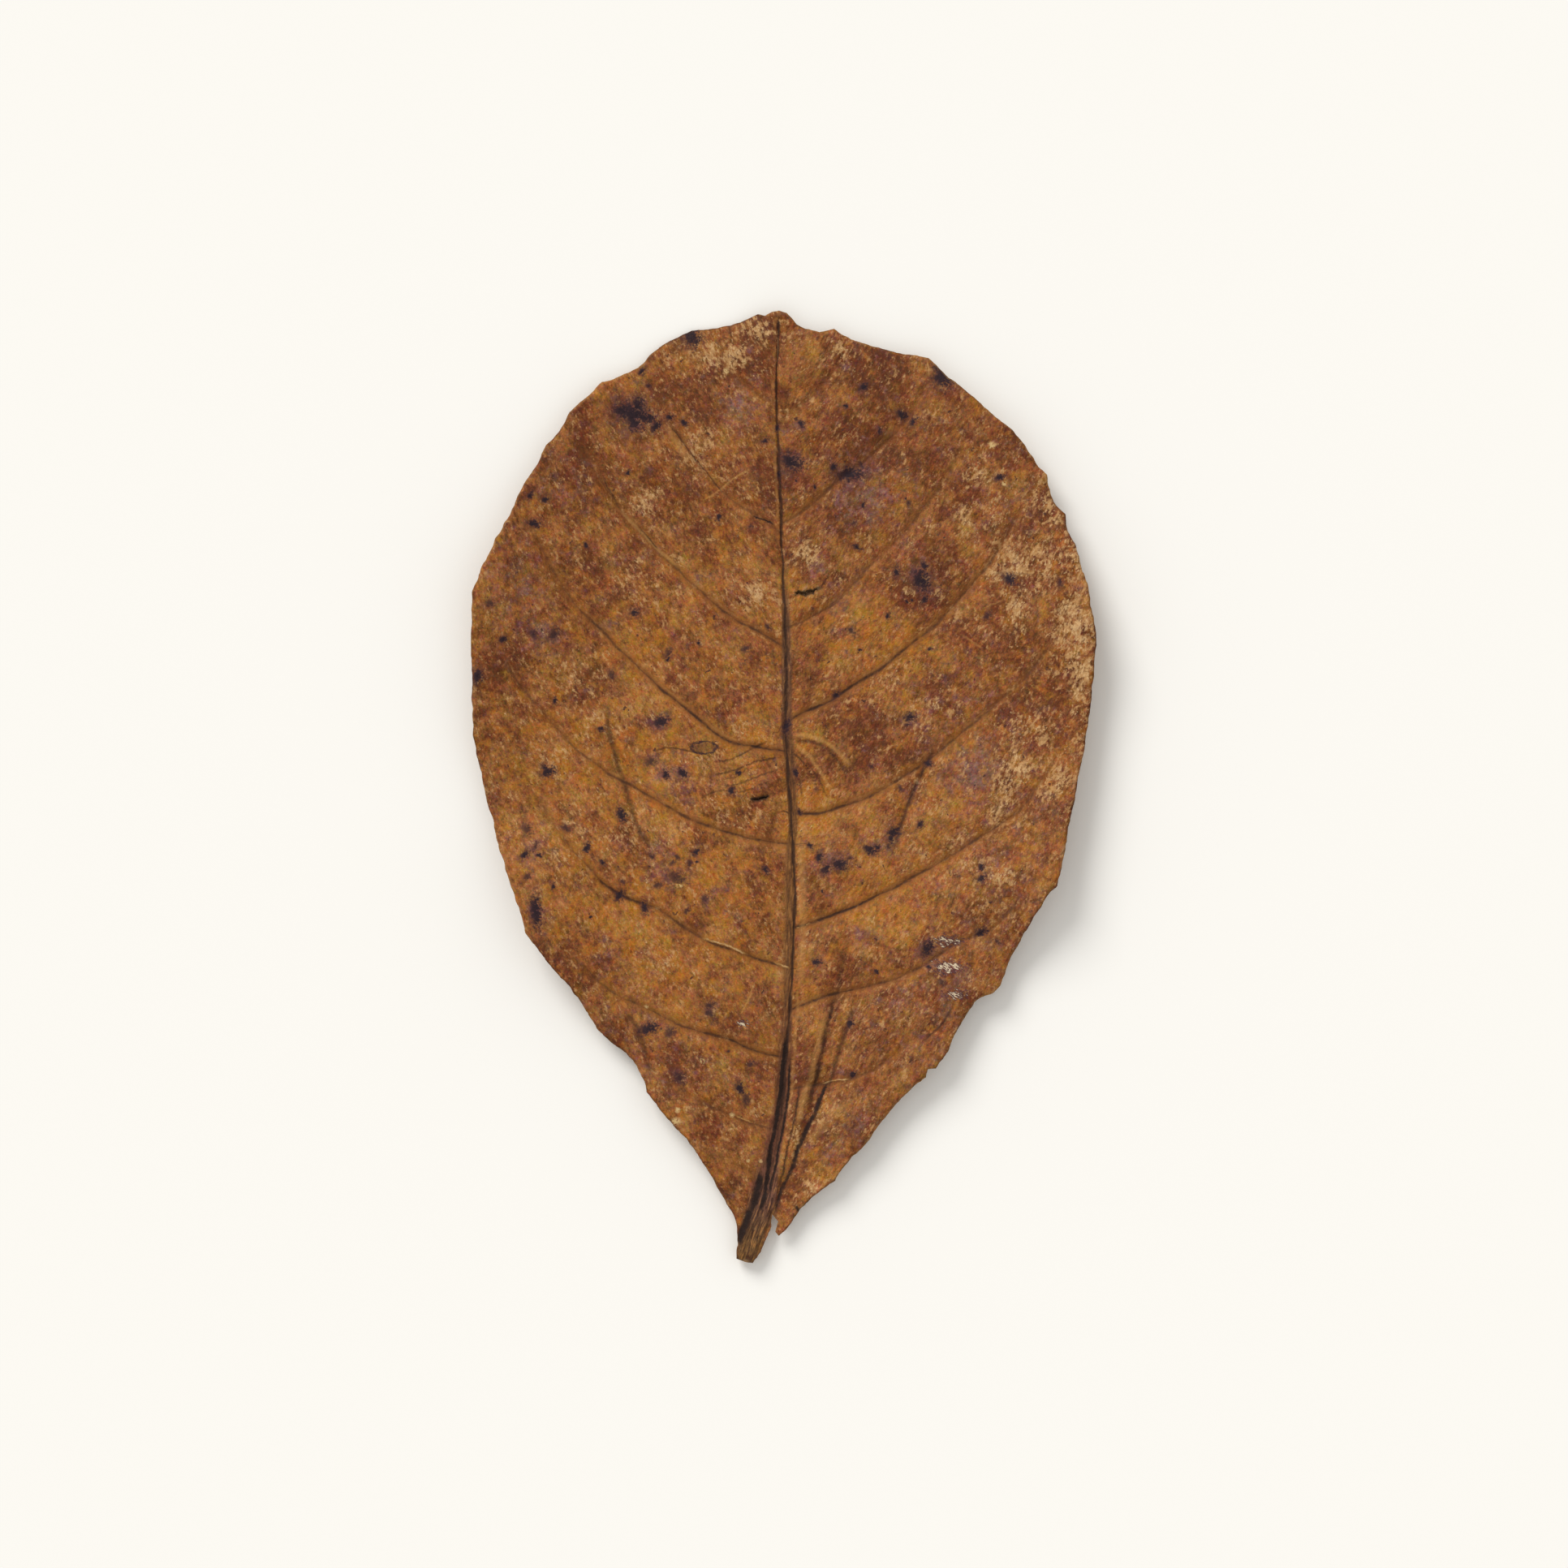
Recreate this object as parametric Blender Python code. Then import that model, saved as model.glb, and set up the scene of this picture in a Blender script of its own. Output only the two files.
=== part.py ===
"""A dried Indian almond leaf (Terminalia catappa), lying with its upper face up.

One piece, as it grew: a blade with its midrib, side veins, pleats and the cut stub of its stalk.
The leaf is first a flat sheet of triangles, with the true margin and a row of points along each
vein and fold. The sheet is then raised to its dried shape, and extruded down to its thickness.
Lengths below are in millimetres; the finished mesh is in metres. +Y points to the tip, +Z up,
and the origin is under the middle of the leaf, on the surface that it lies on.
"""

import math
import random

import bmesh
import bpy
import numpy as np
from mathutils.geometry import delaunay_2d_cdt

MM = 0.001
LEAF_LENGTH = 199.6
HALF_LENGTH = LEAF_LENGTH / 2
HALF_WIDTH = 65.25

BLADE_THICKNESS = 0.62
BLADE_COLOUR = (0.246, 0.098, 0.034, 1.0)
BLADE_ROUGHNESS = 0.72

# The margin runs from the stalk up the right side to the tip and down the left side.
# Each run is one smooth curve, and two runs meet in a corner: a nick, a tooth or a torn end.
MARGIN_RUNS = [
    # the right side of the stalk, up to the tear beside it
    [(-6.4, -99.8), (-4.8, -97.2), (-3.7, -94.6), (-2.5, -92.0), (-2.4, -89.4)],
    [(-2.4, -89.4), (-1.2, -90.9), (-1.7, -92.9), (-1.0, -93.8)],
    # the torn free end of the blade, then the ragged lower right margin
    [(-1.0, -93.8), (0.6, -92.4), (3.5, -88.5), (6.1, -85.7), (8.4, -83.8), (11.0, -82.3)],
    [(11.0, -82.3), (11.7, -80.7), (14.3, -77.5), (17.1, -74.7), (21.0, -69.3), (25.0, -64.6),
     (27.2, -62.3), (29.6, -60.6)],
    [(29.6, -60.6), (30.2, -58.9)],
    [(30.2, -58.9), (31.7, -58.6), (33.4, -56.7), (36.2, -51.1), (39.7, -44.9)],
    [(39.7, -44.9), (41.6, -43.8), (43.5, -43.2), (45.2, -41.5), (46.1, -39.0), (47.7, -35.5),
     (51.1, -28.9), (55.6, -21.6)],
    [(55.6, -21.6), (56.9, -20.5), (57.7, -18.3)],
    # the long right margin
    [(57.7, -18.3), (59.7, -6.5), (61.7, 3.1), (63.2, 11.9), (64.3, 20.0), (65.25, 32.2)],
    [(65.25, 32.2), (64.2, 36.5), (63.3, 42.5)],
    [(63.3, 42.5), (61.8, 46.4), (61.0, 50.0), (59.4, 53.4), (58.7, 56.9)],
    [(58.7, 56.9), (56.9, 58.8), (55.6, 61.8), (55.0, 65.2)],
    [(55.0, 65.2), (53.0, 67.0), (51.2, 70.4), (47.6, 74.9), (44.3, 77.4), (38.6, 82.6),
     (34.6, 85.7), (32.4, 87.7), (30.4, 89.9)],
    # the top, with the small blunt point at the end of the midrib
    [(30.4, 89.9), (26.2, 90.5), (21.1, 91.7), (16.0, 93.1), (12.6, 94.6), (10.4, 95.9)],
    [(10.4, 95.9), (7.5, 95.4), (4.6, 96.0), (2.7, 97.0), (0.6, 99.2), (-0.9, 99.8),
     (-2.4, 99.5), (-3.8, 98.7)],
    [(-3.8, 98.7), (-5.6, 99.0), (-7.7, 98.0), (-11.1, 96.8), (-15.3, 96.1), (-19.2, 95.8)],
    [(-19.2, 95.8), (-22.2, 94.3), (-26.2, 92.2), (-27.9, 90.5), (-30.6, 87.8), (-33.6, 86.2),
     (-38.0, 84.9)],
    # the long left margin
    [(-38.0, 84.9), (-41.6, 81.4), (-44.8, 78.6)],
    [(-44.8, 78.6), (-47.0, 74.4), (-49.6, 71.4)],
    [(-49.6, 71.4), (-52.0, 66.9), (-54.6, 62.6), (-57.2, 57.0), (-60.2, 51.8), (-62.6, 46.8),
     (-64.9, 40.6)],
    [(-64.9, 40.6), (-65.25, 32.0), (-65.0, 20.0), (-64.9, 11.0)],
    [(-64.9, 11.0), (-62.6, -0.3), (-59.9, -10.5), (-57.2, -19.6), (-54.9, -26.2),
     (-53.8, -30.4)],
    [(-53.8, -30.4), (-52.6, -32.2), (-48.9, -36.9), (-44.0, -42.6), (-40.2, -48.4),
     (-37.6, -51.9), (-32.9, -55.7), (-30.8, -58.2), (-29.2, -61.2)],
    [(-29.2, -61.2), (-28.6, -63.6), (-24.4, -69.2), (-20.3, -73.6), (-16.6, -79.0),
     (-13.2, -84.8), (-10.6, -89.2), (-9.7, -92.0), (-9.5, -95.2), (-9.8, -98.6)],
    # the cut end of the stalk
    [(-9.8, -98.6), (-6.4, -99.8)],
]

MIDRIB = [
    (-8.1, -98.8), (-6.6, -94.0), (-4.3, -88.1), (-2.3, -79.7), (-0.6, -69.5), (0.3, -59.3),
    (1.8, -39.0), (2.3, -24.0), (1.8, -10.2), (0.8, 5.1), (0.4, 12.7), (0.6, 24.0),
    (0.0, 42.0), (-0.9, 64.4), (-1.4, 79.0), (-1.1, 97.4),
]

# Each side vein starts on the midrib and arches towards the tip.
SIDE_VEINS = {
    "left_1": [(-1.4, 80.6), (-4.5, 81.8), (-8.5, 84.4), (-12.5, 88.2), (-15.2, 92.6)],
    "left_2": [(-0.5, 53.2), (-4.5, 56.3), (-13.5, 62.5), (-20.4, 71.4), (-25.5, 79.0),
               (-28.1, 84.6)],
    "left_3": [(0.5, 29.3), (-6.9, 33.6), (-11.7, 36.3), (-24.0, 47.3), (-34.5, 58.7),
               (-40.3, 67.8), (-43.6, 74.0)],
    "left_4": [(0.5, 7.6), (-6.9, 8.5), (-11.2, 9.7), (-16.4, 13.2), (-28.3, 23.2),
               (-41.1, 35.6), (-46.4, 42.0), (-50.9, 50.8), (-53.6, 58.0)],
    "left_5": [(1.7, -11.7), (-4.5, -11.3), (-17.4, -7.6), (-27.8, -2.0), (-36.4, 2.8),
               (-44.0, 8.6), (-50.7, 16.0), (-55.9, 22.3), (-60.4, 31.0)],
    "left_6": [(1.8, -38.1), (-9.3, -34.7), (-18.3, -31.0), (-25.9, -25.8), (-33.5, -22.9),
               (-38.8, -19.1), (-45.8, -11.0), (-53.8, 1.0)],
    "left_7": [(0.5, -56.6), (-4.6, -55.8), (-10.8, -53.2), (-20.3, -50.1), (-33.8, -43.9),
               (-41.0, -38.5), (-46.0, -33.0)],
    "left_8": [(-0.9, -71.8), (-8.0, -70.1), (-17.5, -65.9), (-22.6, -63.8), (-25.6, -60.8)],
    "left_9": [(-2.8, -82.0), (-8.0, -79.9), (-11.9, -78.2), (-16.4, -76.0)],
    "right_1": [(-1.3, 76.0), (3.0, 79.5), (8.5, 84.5), (12.5, 90.5)],
    "right_2": [(-0.5, 55.1), (5.5, 58.8), (11.2, 64.0), (17.4, 68.6), (25.3, 76.3),
                (29.4, 83.0)],
    "right_3": [(0.3, 33.1), (6.0, 35.9), (10.7, 38.5), (17.9, 46.3), (25.3, 53.4),
                (33.8, 64.4), (38.0, 72.0)],
    "right_4": [(0.4, 13.1), (3.3, 15.2), (11.2, 19.0), (22.1, 26.3), (34.0, 36.4),
                (43.4, 47.4), (50.8, 59.3)],
    "right_5": [(1.4, -5.4), (7.0, -5.4), (16.9, -2.3), (27.8, 3.9), (37.7, 11.7),
                (50.6, 23.1), (59.0, 34.0)],
    "right_6": [(2.3, -29.5), (12.2, -26.1), (26.2, -19.4), (40.8, -10.6), (48.6, -5.4),
                (53.6, 1.0), (58.4, 8.6)],
    "right_7": [(1.6, -46.6), (7.5, -44.1), (20.0, -41.2), (28.8, -37.6), (36.6, -32.4),
                (43.4, -29.8), (50.4, -22.4)],
    "right_8": [(0.1, -63.4), (7.7, -62.1), (16.4, -60.3), (23.0, -56.2), (30.0, -50.5)],
    "right_9": [(-3.2, -84.0), (1.5, -83.6), (6.5, -81.0), (10.5, -77.4)],
}

# Pleats and creases that drying left: the line of each, how far it sinks, how wide it is and how
# high the crest on its left stands.
FOLDS = {
    "long_pleat": ([(-0.8, -86.4), (0.7, -81.7), (2.6, -77.6), (4.6, -71.9), (7.7, -61.9),
                    (10.6, -49.5), (12.2, -37.0), (13.6, -28.8)], 0.8, 1.4, 0.35),
    "short_pleat": ([(6.9, -68.4), (10.6, -59.5), (13.2, -51.0), (15.3, -43.2)], 0.55, 1.1, 0),
    "left_crease": ([(-36.6, 14.0), (-35.4, 6.1), (-33.5, 0.9), (-31.2, -7.2),
                     (-27.4, -14.8)], 0.7, 1.2, 0.2),
    "right_crease": ([(32.4, 10.4), (29.4, 2.9), (26.3, -3.3), (24.2, -9.0),
                      (23.1, -14.7)], 0.8, 1.2, 0.3),
    "hub_crease_upper": ([(2.2, 11.8), (8.6, 9.9), (12.6, 6.5), (14.6, 4.1)], 0.5, 0.9, 0),
    "hub_crease_lower": ([(2.6, 9.0), (6.6, 5.0), (9.6, -0.7)], 0.5, 0.9, 0),
    "hub_crease_left": ([(-1.4, 5.6), (-6.0, 3.4), (-12.0, 2.2), (-17.0, 3.6)], 0.4, 1.0, 0),
    "lower_left_crease": ([(-34.0, -46.4), (-30.5, -53.5), (-27.4, -60.0)], 0.9, 1.2, 0.3),
    "lower_right_crease": ([(35.0, -44.6), (31.4, -50.2), (28.6, -54.4)], 0.5, 1.0, 0),
}

CREST_OFFSET = 2.6
CREST_WIDTH = 1.5
# The share of its length over which a fold rises from nothing, at each end.
FOLD_RUN_OUT = 0.3

# Splits right through the blade: centre, length, width and the angle of the long side.
SPLITS = {
    "upper_split": ((4.85, 40.9), 4.8, 1.0, 12.0),
    "lower_split": ((-5.0, -2.4), 3.6, 0.5, 8.0),
}
SPLIT_SIDES = 8

# The rib below the blade, from the stalk's end to the tip, and the side veins' ribs.
RIB_HEIGHT_AT_STALK = 2.5
RIB_HEIGHT_AT_TIP = 0.45
RIB_HALF_WIDTH_AT_STALK = 1.9
RIB_HALF_WIDTH_AT_TIP = 0.55
STALK_TAPER_POWER = 1.8
VEIN_RIB_HEIGHT = 0.55
VEIN_RIB_HALF_WIDTH = 1.1
# The same veins are sunk in the upper face.
RIB_GROOVE = 0.45
VEIN_GROOVE = 0.38
GROOVE_HALF_WIDTH = 0.8

# The dried shape of the whole leaf.
TIP_CURL = 3.0
LOWEST_STATION = -42.0
HALF_GUTTER = 7.0
SAG_BESIDE_RIB = 2.4
MARGIN_CURL = 6.4
QUILTING = 0.75
QUILTING_REACH = 4.0
# Waves round the margin: how many, how high and where each starts, in radians.
MARGIN_WAVES = [(3, 0.8, 0.7), (5, 1.0, 2.3), (8, 0.75, 4.1), (13, 0.4, 1.0)]
WAVE_REACH = 15.0
# The three places that the leaf rests on. It sinks a little there, softly, and ends flat.
FEET = [(1.9, -42.0), (-23.0, 36.0), (25.0, 22.0)]
FOOT_RADIUS = 9.0
FOOT_SINK = 0.72
FOOT_SOFTNESS = 0.8
FOOT_FLAT = 0.3

# Spacing of the sheet's points.
MARGIN_STEP = 2.1
VEIN_STEP = 2.6
FLANK = 1.15
FILL_STEP = 3.9
FILL_GAP = 2.5
FEATURE_GAP = 0.85
FILL_JITTER = 0.5
SEED = 7


def clear_scene():
    for obj in list(bpy.data.objects):
        bpy.data.objects.remove(obj)


def smooth_line(points, step):
    """Points about a step apart on the smooth curve (Catmull-Rom) through the given points."""
    known = np.array(points, float)
    ends = [2 * known[0] - known[1], 2 * known[-1] - known[-2]]
    known = np.vstack([ends[0], known, ends[1]])
    line = []
    for before, start, end, after in zip(known, known[1:], known[2:], known[3:]):
        pieces = max(1, round(np.linalg.norm(end - start) / step))
        for t in np.arange(pieces) / pieces:
            line.append(0.5 * (2 * start + (end - before) * t
                               + (2 * before - 5 * start + 4 * end - after) * t ** 2
                               + (3 * start - before - 3 * end + after) * t ** 3))
    return np.array(line + [known[-2]])


def beside(line, distance):
    """The line moved sideways, to its left if the distance is positive."""
    along = np.gradient(line, axis=0)
    along /= np.linalg.norm(along, axis=1)[:, None]
    return line + distance * np.column_stack([-along[:, 1], along[:, 0]])


def distance_to(line, points):
    """How far each point is from a line, on which side of it (positive on its left), and beside
    which share of its length."""
    best = np.full(len(points), 1e9)
    side = np.ones(len(points))
    along = np.zeros(len(points))
    for place, (start, end) in enumerate(zip(line, line[1:])):
        run = end - start
        rel = points - start
        share = np.clip(rel @ run / (run @ run), 0, 1)
        gap = np.linalg.norm(rel - share[:, None] * run, axis=1)
        nearer = gap < best
        turn = run[0] * rel[:, 1] - run[1] * rel[:, 0]
        best = np.where(nearer, gap, best)
        side = np.where(nearer, np.sign(turn), side)
        along = np.where(nearer, (place + share) / (len(line) - 1), along)
    return best, side, along


def inside(loop, points):
    """Which points lie inside a closed loop, by counting the edges to their right."""
    crossings = np.zeros(len(points), int)
    x, y = points[:, 0], points[:, 1]
    for (x0, y0), (x1, y1) in zip(loop, np.roll(loop, -1, axis=0)):
        if y0 == y1:
            continue
        spans = (y0 > y) != (y1 > y)
        crossings += spans & (x < x0 + (y - y0) * (x1 - x0) / (y1 - y0))
    return crossings % 2 == 1


def margin_loop():
    runs = [smooth_line(run, MARGIN_STEP)[:-1] for run in MARGIN_RUNS]
    return np.vstack(runs)


def split_loop(centre, length, width, angle):
    """A narrow pointed oval."""
    turn = math.radians(angle)
    loop = []
    for side in range(SPLIT_SIDES):
        round_it = 2 * math.pi * side / SPLIT_SIDES
        along = length / 2 * math.cos(round_it)
        across = width / 2 * math.sin(round_it)
        loop.append((centre[0] + along * math.cos(turn) - across * math.sin(turn),
                     centre[1] + along * math.sin(turn) + across * math.cos(turn)))
    return np.array(loop)


def smoothstep(low, high, values):
    t = np.clip((values - low) / (high - low), 0, 1)
    return t * t * (3 - 2 * t)


class Lines:
    """Every line of the leaf, sampled once."""

    def __init__(self):
        self.margin = margin_loop()
        self.splits = [split_loop(*values) for values in SPLITS.values()]
        self.midrib = smooth_line(MIDRIB, VEIN_STEP)
        self.veins = [smooth_line(points, VEIN_STEP) for points in SIDE_VEINS.values()]
        self.folds = [(smooth_line(points, VEIN_STEP), *values)
                      for points, *values in FOLDS.values()]


def rib_size(y):
    """Height and half width of the midrib below the blade, at a station along the leaf."""
    towards_stalk = np.clip((HALF_LENGTH - y) / LEAF_LENGTH, 0, 1) ** STALK_TAPER_POWER
    height = RIB_HEIGHT_AT_TIP + (RIB_HEIGHT_AT_STALK - RIB_HEIGHT_AT_TIP) * towards_stalk
    half_width = RIB_HALF_WIDTH_AT_TIP + (
        RIB_HALF_WIDTH_AT_STALK - RIB_HALF_WIDTH_AT_TIP) * towards_stalk
    return height, half_width


def spread_points(lines):
    """The sheet's points: margin and splits, then rib, veins and folds, then the fill.

    Also gives the edges that the triangles must keep, along the rib, the veins and the folds.
    """
    placed = [*lines.margin, *np.vstack(lines.splits)]
    kept_edges = []
    closed = np.vstack([lines.margin, lines.margin[:1]])

    def add(points, gap, from_margin):
        """Adds the points that have room, and gives the numbers of neighbours along the row."""
        wanted = inside(lines.margin, points)
        wanted &= distance_to(closed, points)[0] > from_margin
        for loop in lines.splits:
            wanted &= ~inside(loop, points)
        row = []
        for point, good in zip(points, wanted):
            good = good and np.min(np.linalg.norm(np.array(placed) - point, axis=1)) > gap
            row.append(len(placed) if good else None)
            if good:
                placed.append(point)
        return [pair for pair in zip(row, row[1:]) if None not in pair]

    kept_edges += add(lines.midrib, FEATURE_GAP, FEATURE_GAP)
    half_width = rib_size(lines.midrib[:, 1])[1]
    for share in (-0.55, 0.55, -1.0, 1.0):
        along = beside(lines.midrib, 1.0) - lines.midrib
        add(lines.midrib + along * (share * half_width)[:, None], 0.45, 0.6)
    for vein in lines.veins:
        kept_edges += add(vein[1:], FEATURE_GAP, FEATURE_GAP)
    for vein in lines.veins:
        for side in (-FLANK, FLANK):
            add(beside(vein, side)[1:], FEATURE_GAP, FEATURE_GAP)
    for fold, *_ in lines.folds:
        to_vein, to_rib = vein_fields(lines, fold)
        clear = np.minimum(to_vein, to_rib) > 2 * FLANK
        for run in np.split(fold, np.flatnonzero(np.diff(clear)) + 1):
            edges = add(run, FEATURE_GAP, FEATURE_GAP)
            if vein_fields(lines, run[:1])[0].min() > 2 * FLANK:
                kept_edges += edges
    for fold, _, _, crest in lines.folds:
        rows = (-FLANK, FLANK, CREST_OFFSET, CREST_OFFSET + FLANK) if crest else (-FLANK, FLANK)
        for side in rows:
            add(beside(fold, side), FEATURE_GAP, FEATURE_GAP)
    draw = random.Random(SEED)
    rows = []
    row_step = FILL_STEP * math.sqrt(3) / 2
    for row in range(-int(HALF_LENGTH / row_step), int(HALF_LENGTH / row_step) + 1):
        for column in range(-int(HALF_WIDTH / FILL_STEP) - 1, int(HALF_WIDTH / FILL_STEP) + 1):
            rows.append(((column + row % 2 / 2) * FILL_STEP + draw.uniform(-1, 1) * FILL_JITTER,
                         row * row_step + draw.uniform(-1, 1) * FILL_JITTER))
    add(np.array(rows), FILL_GAP, FILL_GAP * 0.7)
    return np.array(placed), kept_edges


def flat_triangles(lines):
    """Triangles between the points, inside the margin and outside the splits."""
    points, edges = spread_points(lines)
    first = 0
    for loop in [lines.margin, *lines.splits]:
        count = len(loop)
        edges += [(first + i, first + (i + 1) % count) for i in range(count)]
        first += count
    corners, _, faces, *_ = delaunay_2d_cdt([tuple(p) for p in points], edges, [], 0, 1e-6)
    corners = np.array(corners)
    faces = np.array(faces)
    middles = corners[faces].mean(axis=1)
    kept = inside(lines.margin, middles)
    for loop in lines.splits:
        kept &= ~inside(loop, middles)
    return corners, faces[kept]


def dried_shape(lines, points):
    """Height of the blade before veins and folds: curled, guttered near the stalk, wavy."""
    x, y = points[:, 0], points[:, 1]
    rib_x = np.interp(y, lines.midrib[:, 1], lines.midrib[:, 0])
    side = np.abs(x - rib_x) / HALF_WIDTH
    lengthwise = TIP_CURL * ((y - LOWEST_STATION) / HALF_LENGTH) ** 2
    gutter = HALF_GUTTER * side * smoothstep(20.0, -60.0, y)
    sag = SAG_BESIDE_RIB * 4 * side * (1 - side) * smoothstep(-30.0, 30.0, y)
    curl = MARGIN_CURL * side ** 3
    closed = np.vstack([lines.margin, lines.margin[:1]])
    nearness = np.exp(-distance_to(closed, points)[0] / WAVE_REACH)
    bearing = np.arctan2(y, x)
    waves = sum(height * np.sin(count * bearing + start)
                for count, height, start in MARGIN_WAVES)
    return lengthwise + gutter - sag + curl + waves * nearness


def vein_fields(lines, points):
    """Distance to the nearest side vein, and to the midrib."""
    to_vein = np.min([distance_to(vein, points)[0] for vein in lines.veins], axis=0)
    to_rib = distance_to(lines.midrib, points)[0]
    return to_vein, to_rib


def steepness(points, faces, shape):
    """How much thicker the blade must be, measured upright, where it slopes."""
    place = np.column_stack([points, shape])
    square = np.cross(place[faces[:, 1]] - place[faces[:, 0]],
                      place[faces[:, 2]] - place[faces[:, 0]])
    total = np.zeros_like(place)
    for corner in range(3):
        np.add.at(total, faces[:, corner], square)
    return np.linalg.norm(total, axis=1) / np.abs(total[:, 2])


def heights(lines, points, faces):
    """Lower and upper height of the leaf at each point."""
    to_vein, to_rib = vein_fields(lines, points)
    rib_height, rib_half_width = rib_size(points[:, 1])
    rib = rib_height * np.sqrt(np.clip(1 - (to_rib / (rib_half_width * 1.15)) ** 2, 0, 1))
    closed = np.vstack([lines.margin, lines.margin[:1]])
    to_margin = distance_to(closed, points)[0]
    fade = smoothstep(0.0, 9.0, to_margin)
    vein_rib = VEIN_RIB_HEIGHT * fade * np.clip(1 - to_vein / VEIN_RIB_HALF_WIDTH, 0, 1)
    ribs = np.maximum(rib, vein_rib)
    groove = np.maximum(RIB_GROOVE * np.exp(-(to_rib / GROOVE_HALF_WIDTH) ** 2),
                        VEIN_GROOVE * fade * np.exp(-(to_vein / GROOVE_HALF_WIDTH) ** 2))
    shape = dried_shape(lines, points)
    nearest = np.minimum(to_vein, to_rib)
    shape += QUILTING * (1 - np.exp(-(nearest / QUILTING_REACH) ** 2)) * fade
    for fold, depth, width, crest in lines.folds:
        away, side, along = distance_to(fold, points)
        fold_fade = smoothstep(0.0, FOLD_RUN_OUT, along) * smoothstep(1.0, 1.0 - FOLD_RUN_OUT, along)
        shape -= depth * fold_fade * np.exp(-(away / width) ** 2)
        shape += crest * fold_fade * np.exp(-((away * side - CREST_OFFSET) / CREST_WIDTH) ** 2)
    lower = settle(points, shape - ribs)
    thickness = BLADE_THICKNESS * steepness(points, faces, shape)
    return lower, lower + thickness + np.maximum(ribs - groove, 0)


def settle(points, lower):
    """Tips and lowers the leaf until it rests on its three feet, each pressed a little flat."""
    lows = []
    for foot in FEET:
        near = np.linalg.norm(points - foot, axis=1) < FOOT_RADIUS
        lowest = np.flatnonzero(near)[np.argmin(lower[near])]
        lows.append((*points[lowest], 1.0, lower[lowest]))
    lows = np.array(lows)
    plane = np.linalg.solve(lows[:, :3], lows[:, 3])
    level = lower - np.column_stack([points, np.ones(len(points))]) @ plane
    level -= FOOT_SINK
    softened = (level + np.sqrt(level ** 2 + FOOT_SOFTNESS ** 2)) / 2
    return np.maximum(softened - FOOT_FLAT, 0)


def leaf_mesh(lines):
    """The upper face as a sheet, extruded down to the lower face as one closed body."""
    points, faces = flat_triangles(lines)
    lower, upper = heights(lines, points, faces)
    mesh = bpy.data.meshes.new("leaf")
    mesh.from_pydata(np.column_stack([points, upper]) * MM, [], faces.tolist())
    sheet = bmesh.new()
    sheet.from_mesh(mesh)
    number = sheet.verts.layers.int.new("number")
    for vertex in sheet.verts:
        vertex[number] = vertex.index
    bmesh.ops.recalc_face_normals(sheet, faces=sheet.faces[:])
    below = bmesh.ops.extrude_face_region(sheet, geom=sheet.faces[:])["geom"]
    for vertex in (item for item in below if isinstance(item, bmesh.types.BMVert)):
        vertex.co.z = lower[vertex[number]] * MM
    bmesh.ops.recalc_face_normals(sheet, faces=sheet.faces[:])
    sheet.to_mesh(mesh)
    sheet.free()
    return mesh


def leaf_material():
    material = bpy.data.materials.new("dried_leaf")
    material.use_nodes = True
    shader = material.node_tree.nodes["Principled BSDF"]
    shader.inputs["Base Color"].default_value = BLADE_COLOUR
    shader.inputs["Roughness"].default_value = BLADE_ROUGHNESS
    shader.inputs["Metallic"].default_value = 0.0
    return material


def main():
    clear_scene()
    collection = bpy.data.collections.new("indian_almond_leaf")
    bpy.context.scene.collection.children.link(collection)
    leaf = bpy.data.objects.new("leaf", leaf_mesh(Lines()))
    leaf.data.materials.append(leaf_material())
    collection.objects.link(leaf)


main()
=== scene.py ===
"""Dresses the dried Indian almond leaf: its blade, its markings, its finish and its stage.

It is laid out as an add-on, with one operator for each job and a panel that lists them, and it is
run as a script. Lengths are in metres unless a name or a comment says millimetres.
"""

import math

import bpy
import numpy as np
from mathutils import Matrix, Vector, kdtree, noise


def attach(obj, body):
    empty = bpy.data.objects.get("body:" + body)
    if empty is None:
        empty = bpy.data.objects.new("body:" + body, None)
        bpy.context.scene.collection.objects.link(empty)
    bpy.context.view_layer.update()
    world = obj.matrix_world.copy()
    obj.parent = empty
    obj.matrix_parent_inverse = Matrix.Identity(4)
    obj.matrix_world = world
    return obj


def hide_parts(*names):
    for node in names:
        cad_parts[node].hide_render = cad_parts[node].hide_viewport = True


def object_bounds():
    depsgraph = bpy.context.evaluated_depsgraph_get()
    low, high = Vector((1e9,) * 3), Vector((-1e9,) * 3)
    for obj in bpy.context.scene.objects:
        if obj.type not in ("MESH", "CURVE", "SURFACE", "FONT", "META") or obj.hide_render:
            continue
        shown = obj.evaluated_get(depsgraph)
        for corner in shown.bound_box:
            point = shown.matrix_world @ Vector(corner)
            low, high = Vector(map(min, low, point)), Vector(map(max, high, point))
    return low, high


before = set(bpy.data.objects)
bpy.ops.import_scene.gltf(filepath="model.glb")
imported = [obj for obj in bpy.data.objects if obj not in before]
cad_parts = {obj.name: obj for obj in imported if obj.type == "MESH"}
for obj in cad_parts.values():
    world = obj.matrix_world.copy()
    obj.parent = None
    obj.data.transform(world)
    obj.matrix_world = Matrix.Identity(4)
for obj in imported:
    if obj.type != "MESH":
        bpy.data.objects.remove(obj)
CAD_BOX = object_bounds()

bl_info = {
    "name": "Dried almond leaf",
    "version": (1, 0, 0),
    "blender": (4, 5, 0),
    "location": "View3D > Sidebar > Leaf",
    "description": "Models and finishes a dried Indian almond leaf on a pale studio floor",
    "category": "Object",
}

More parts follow.
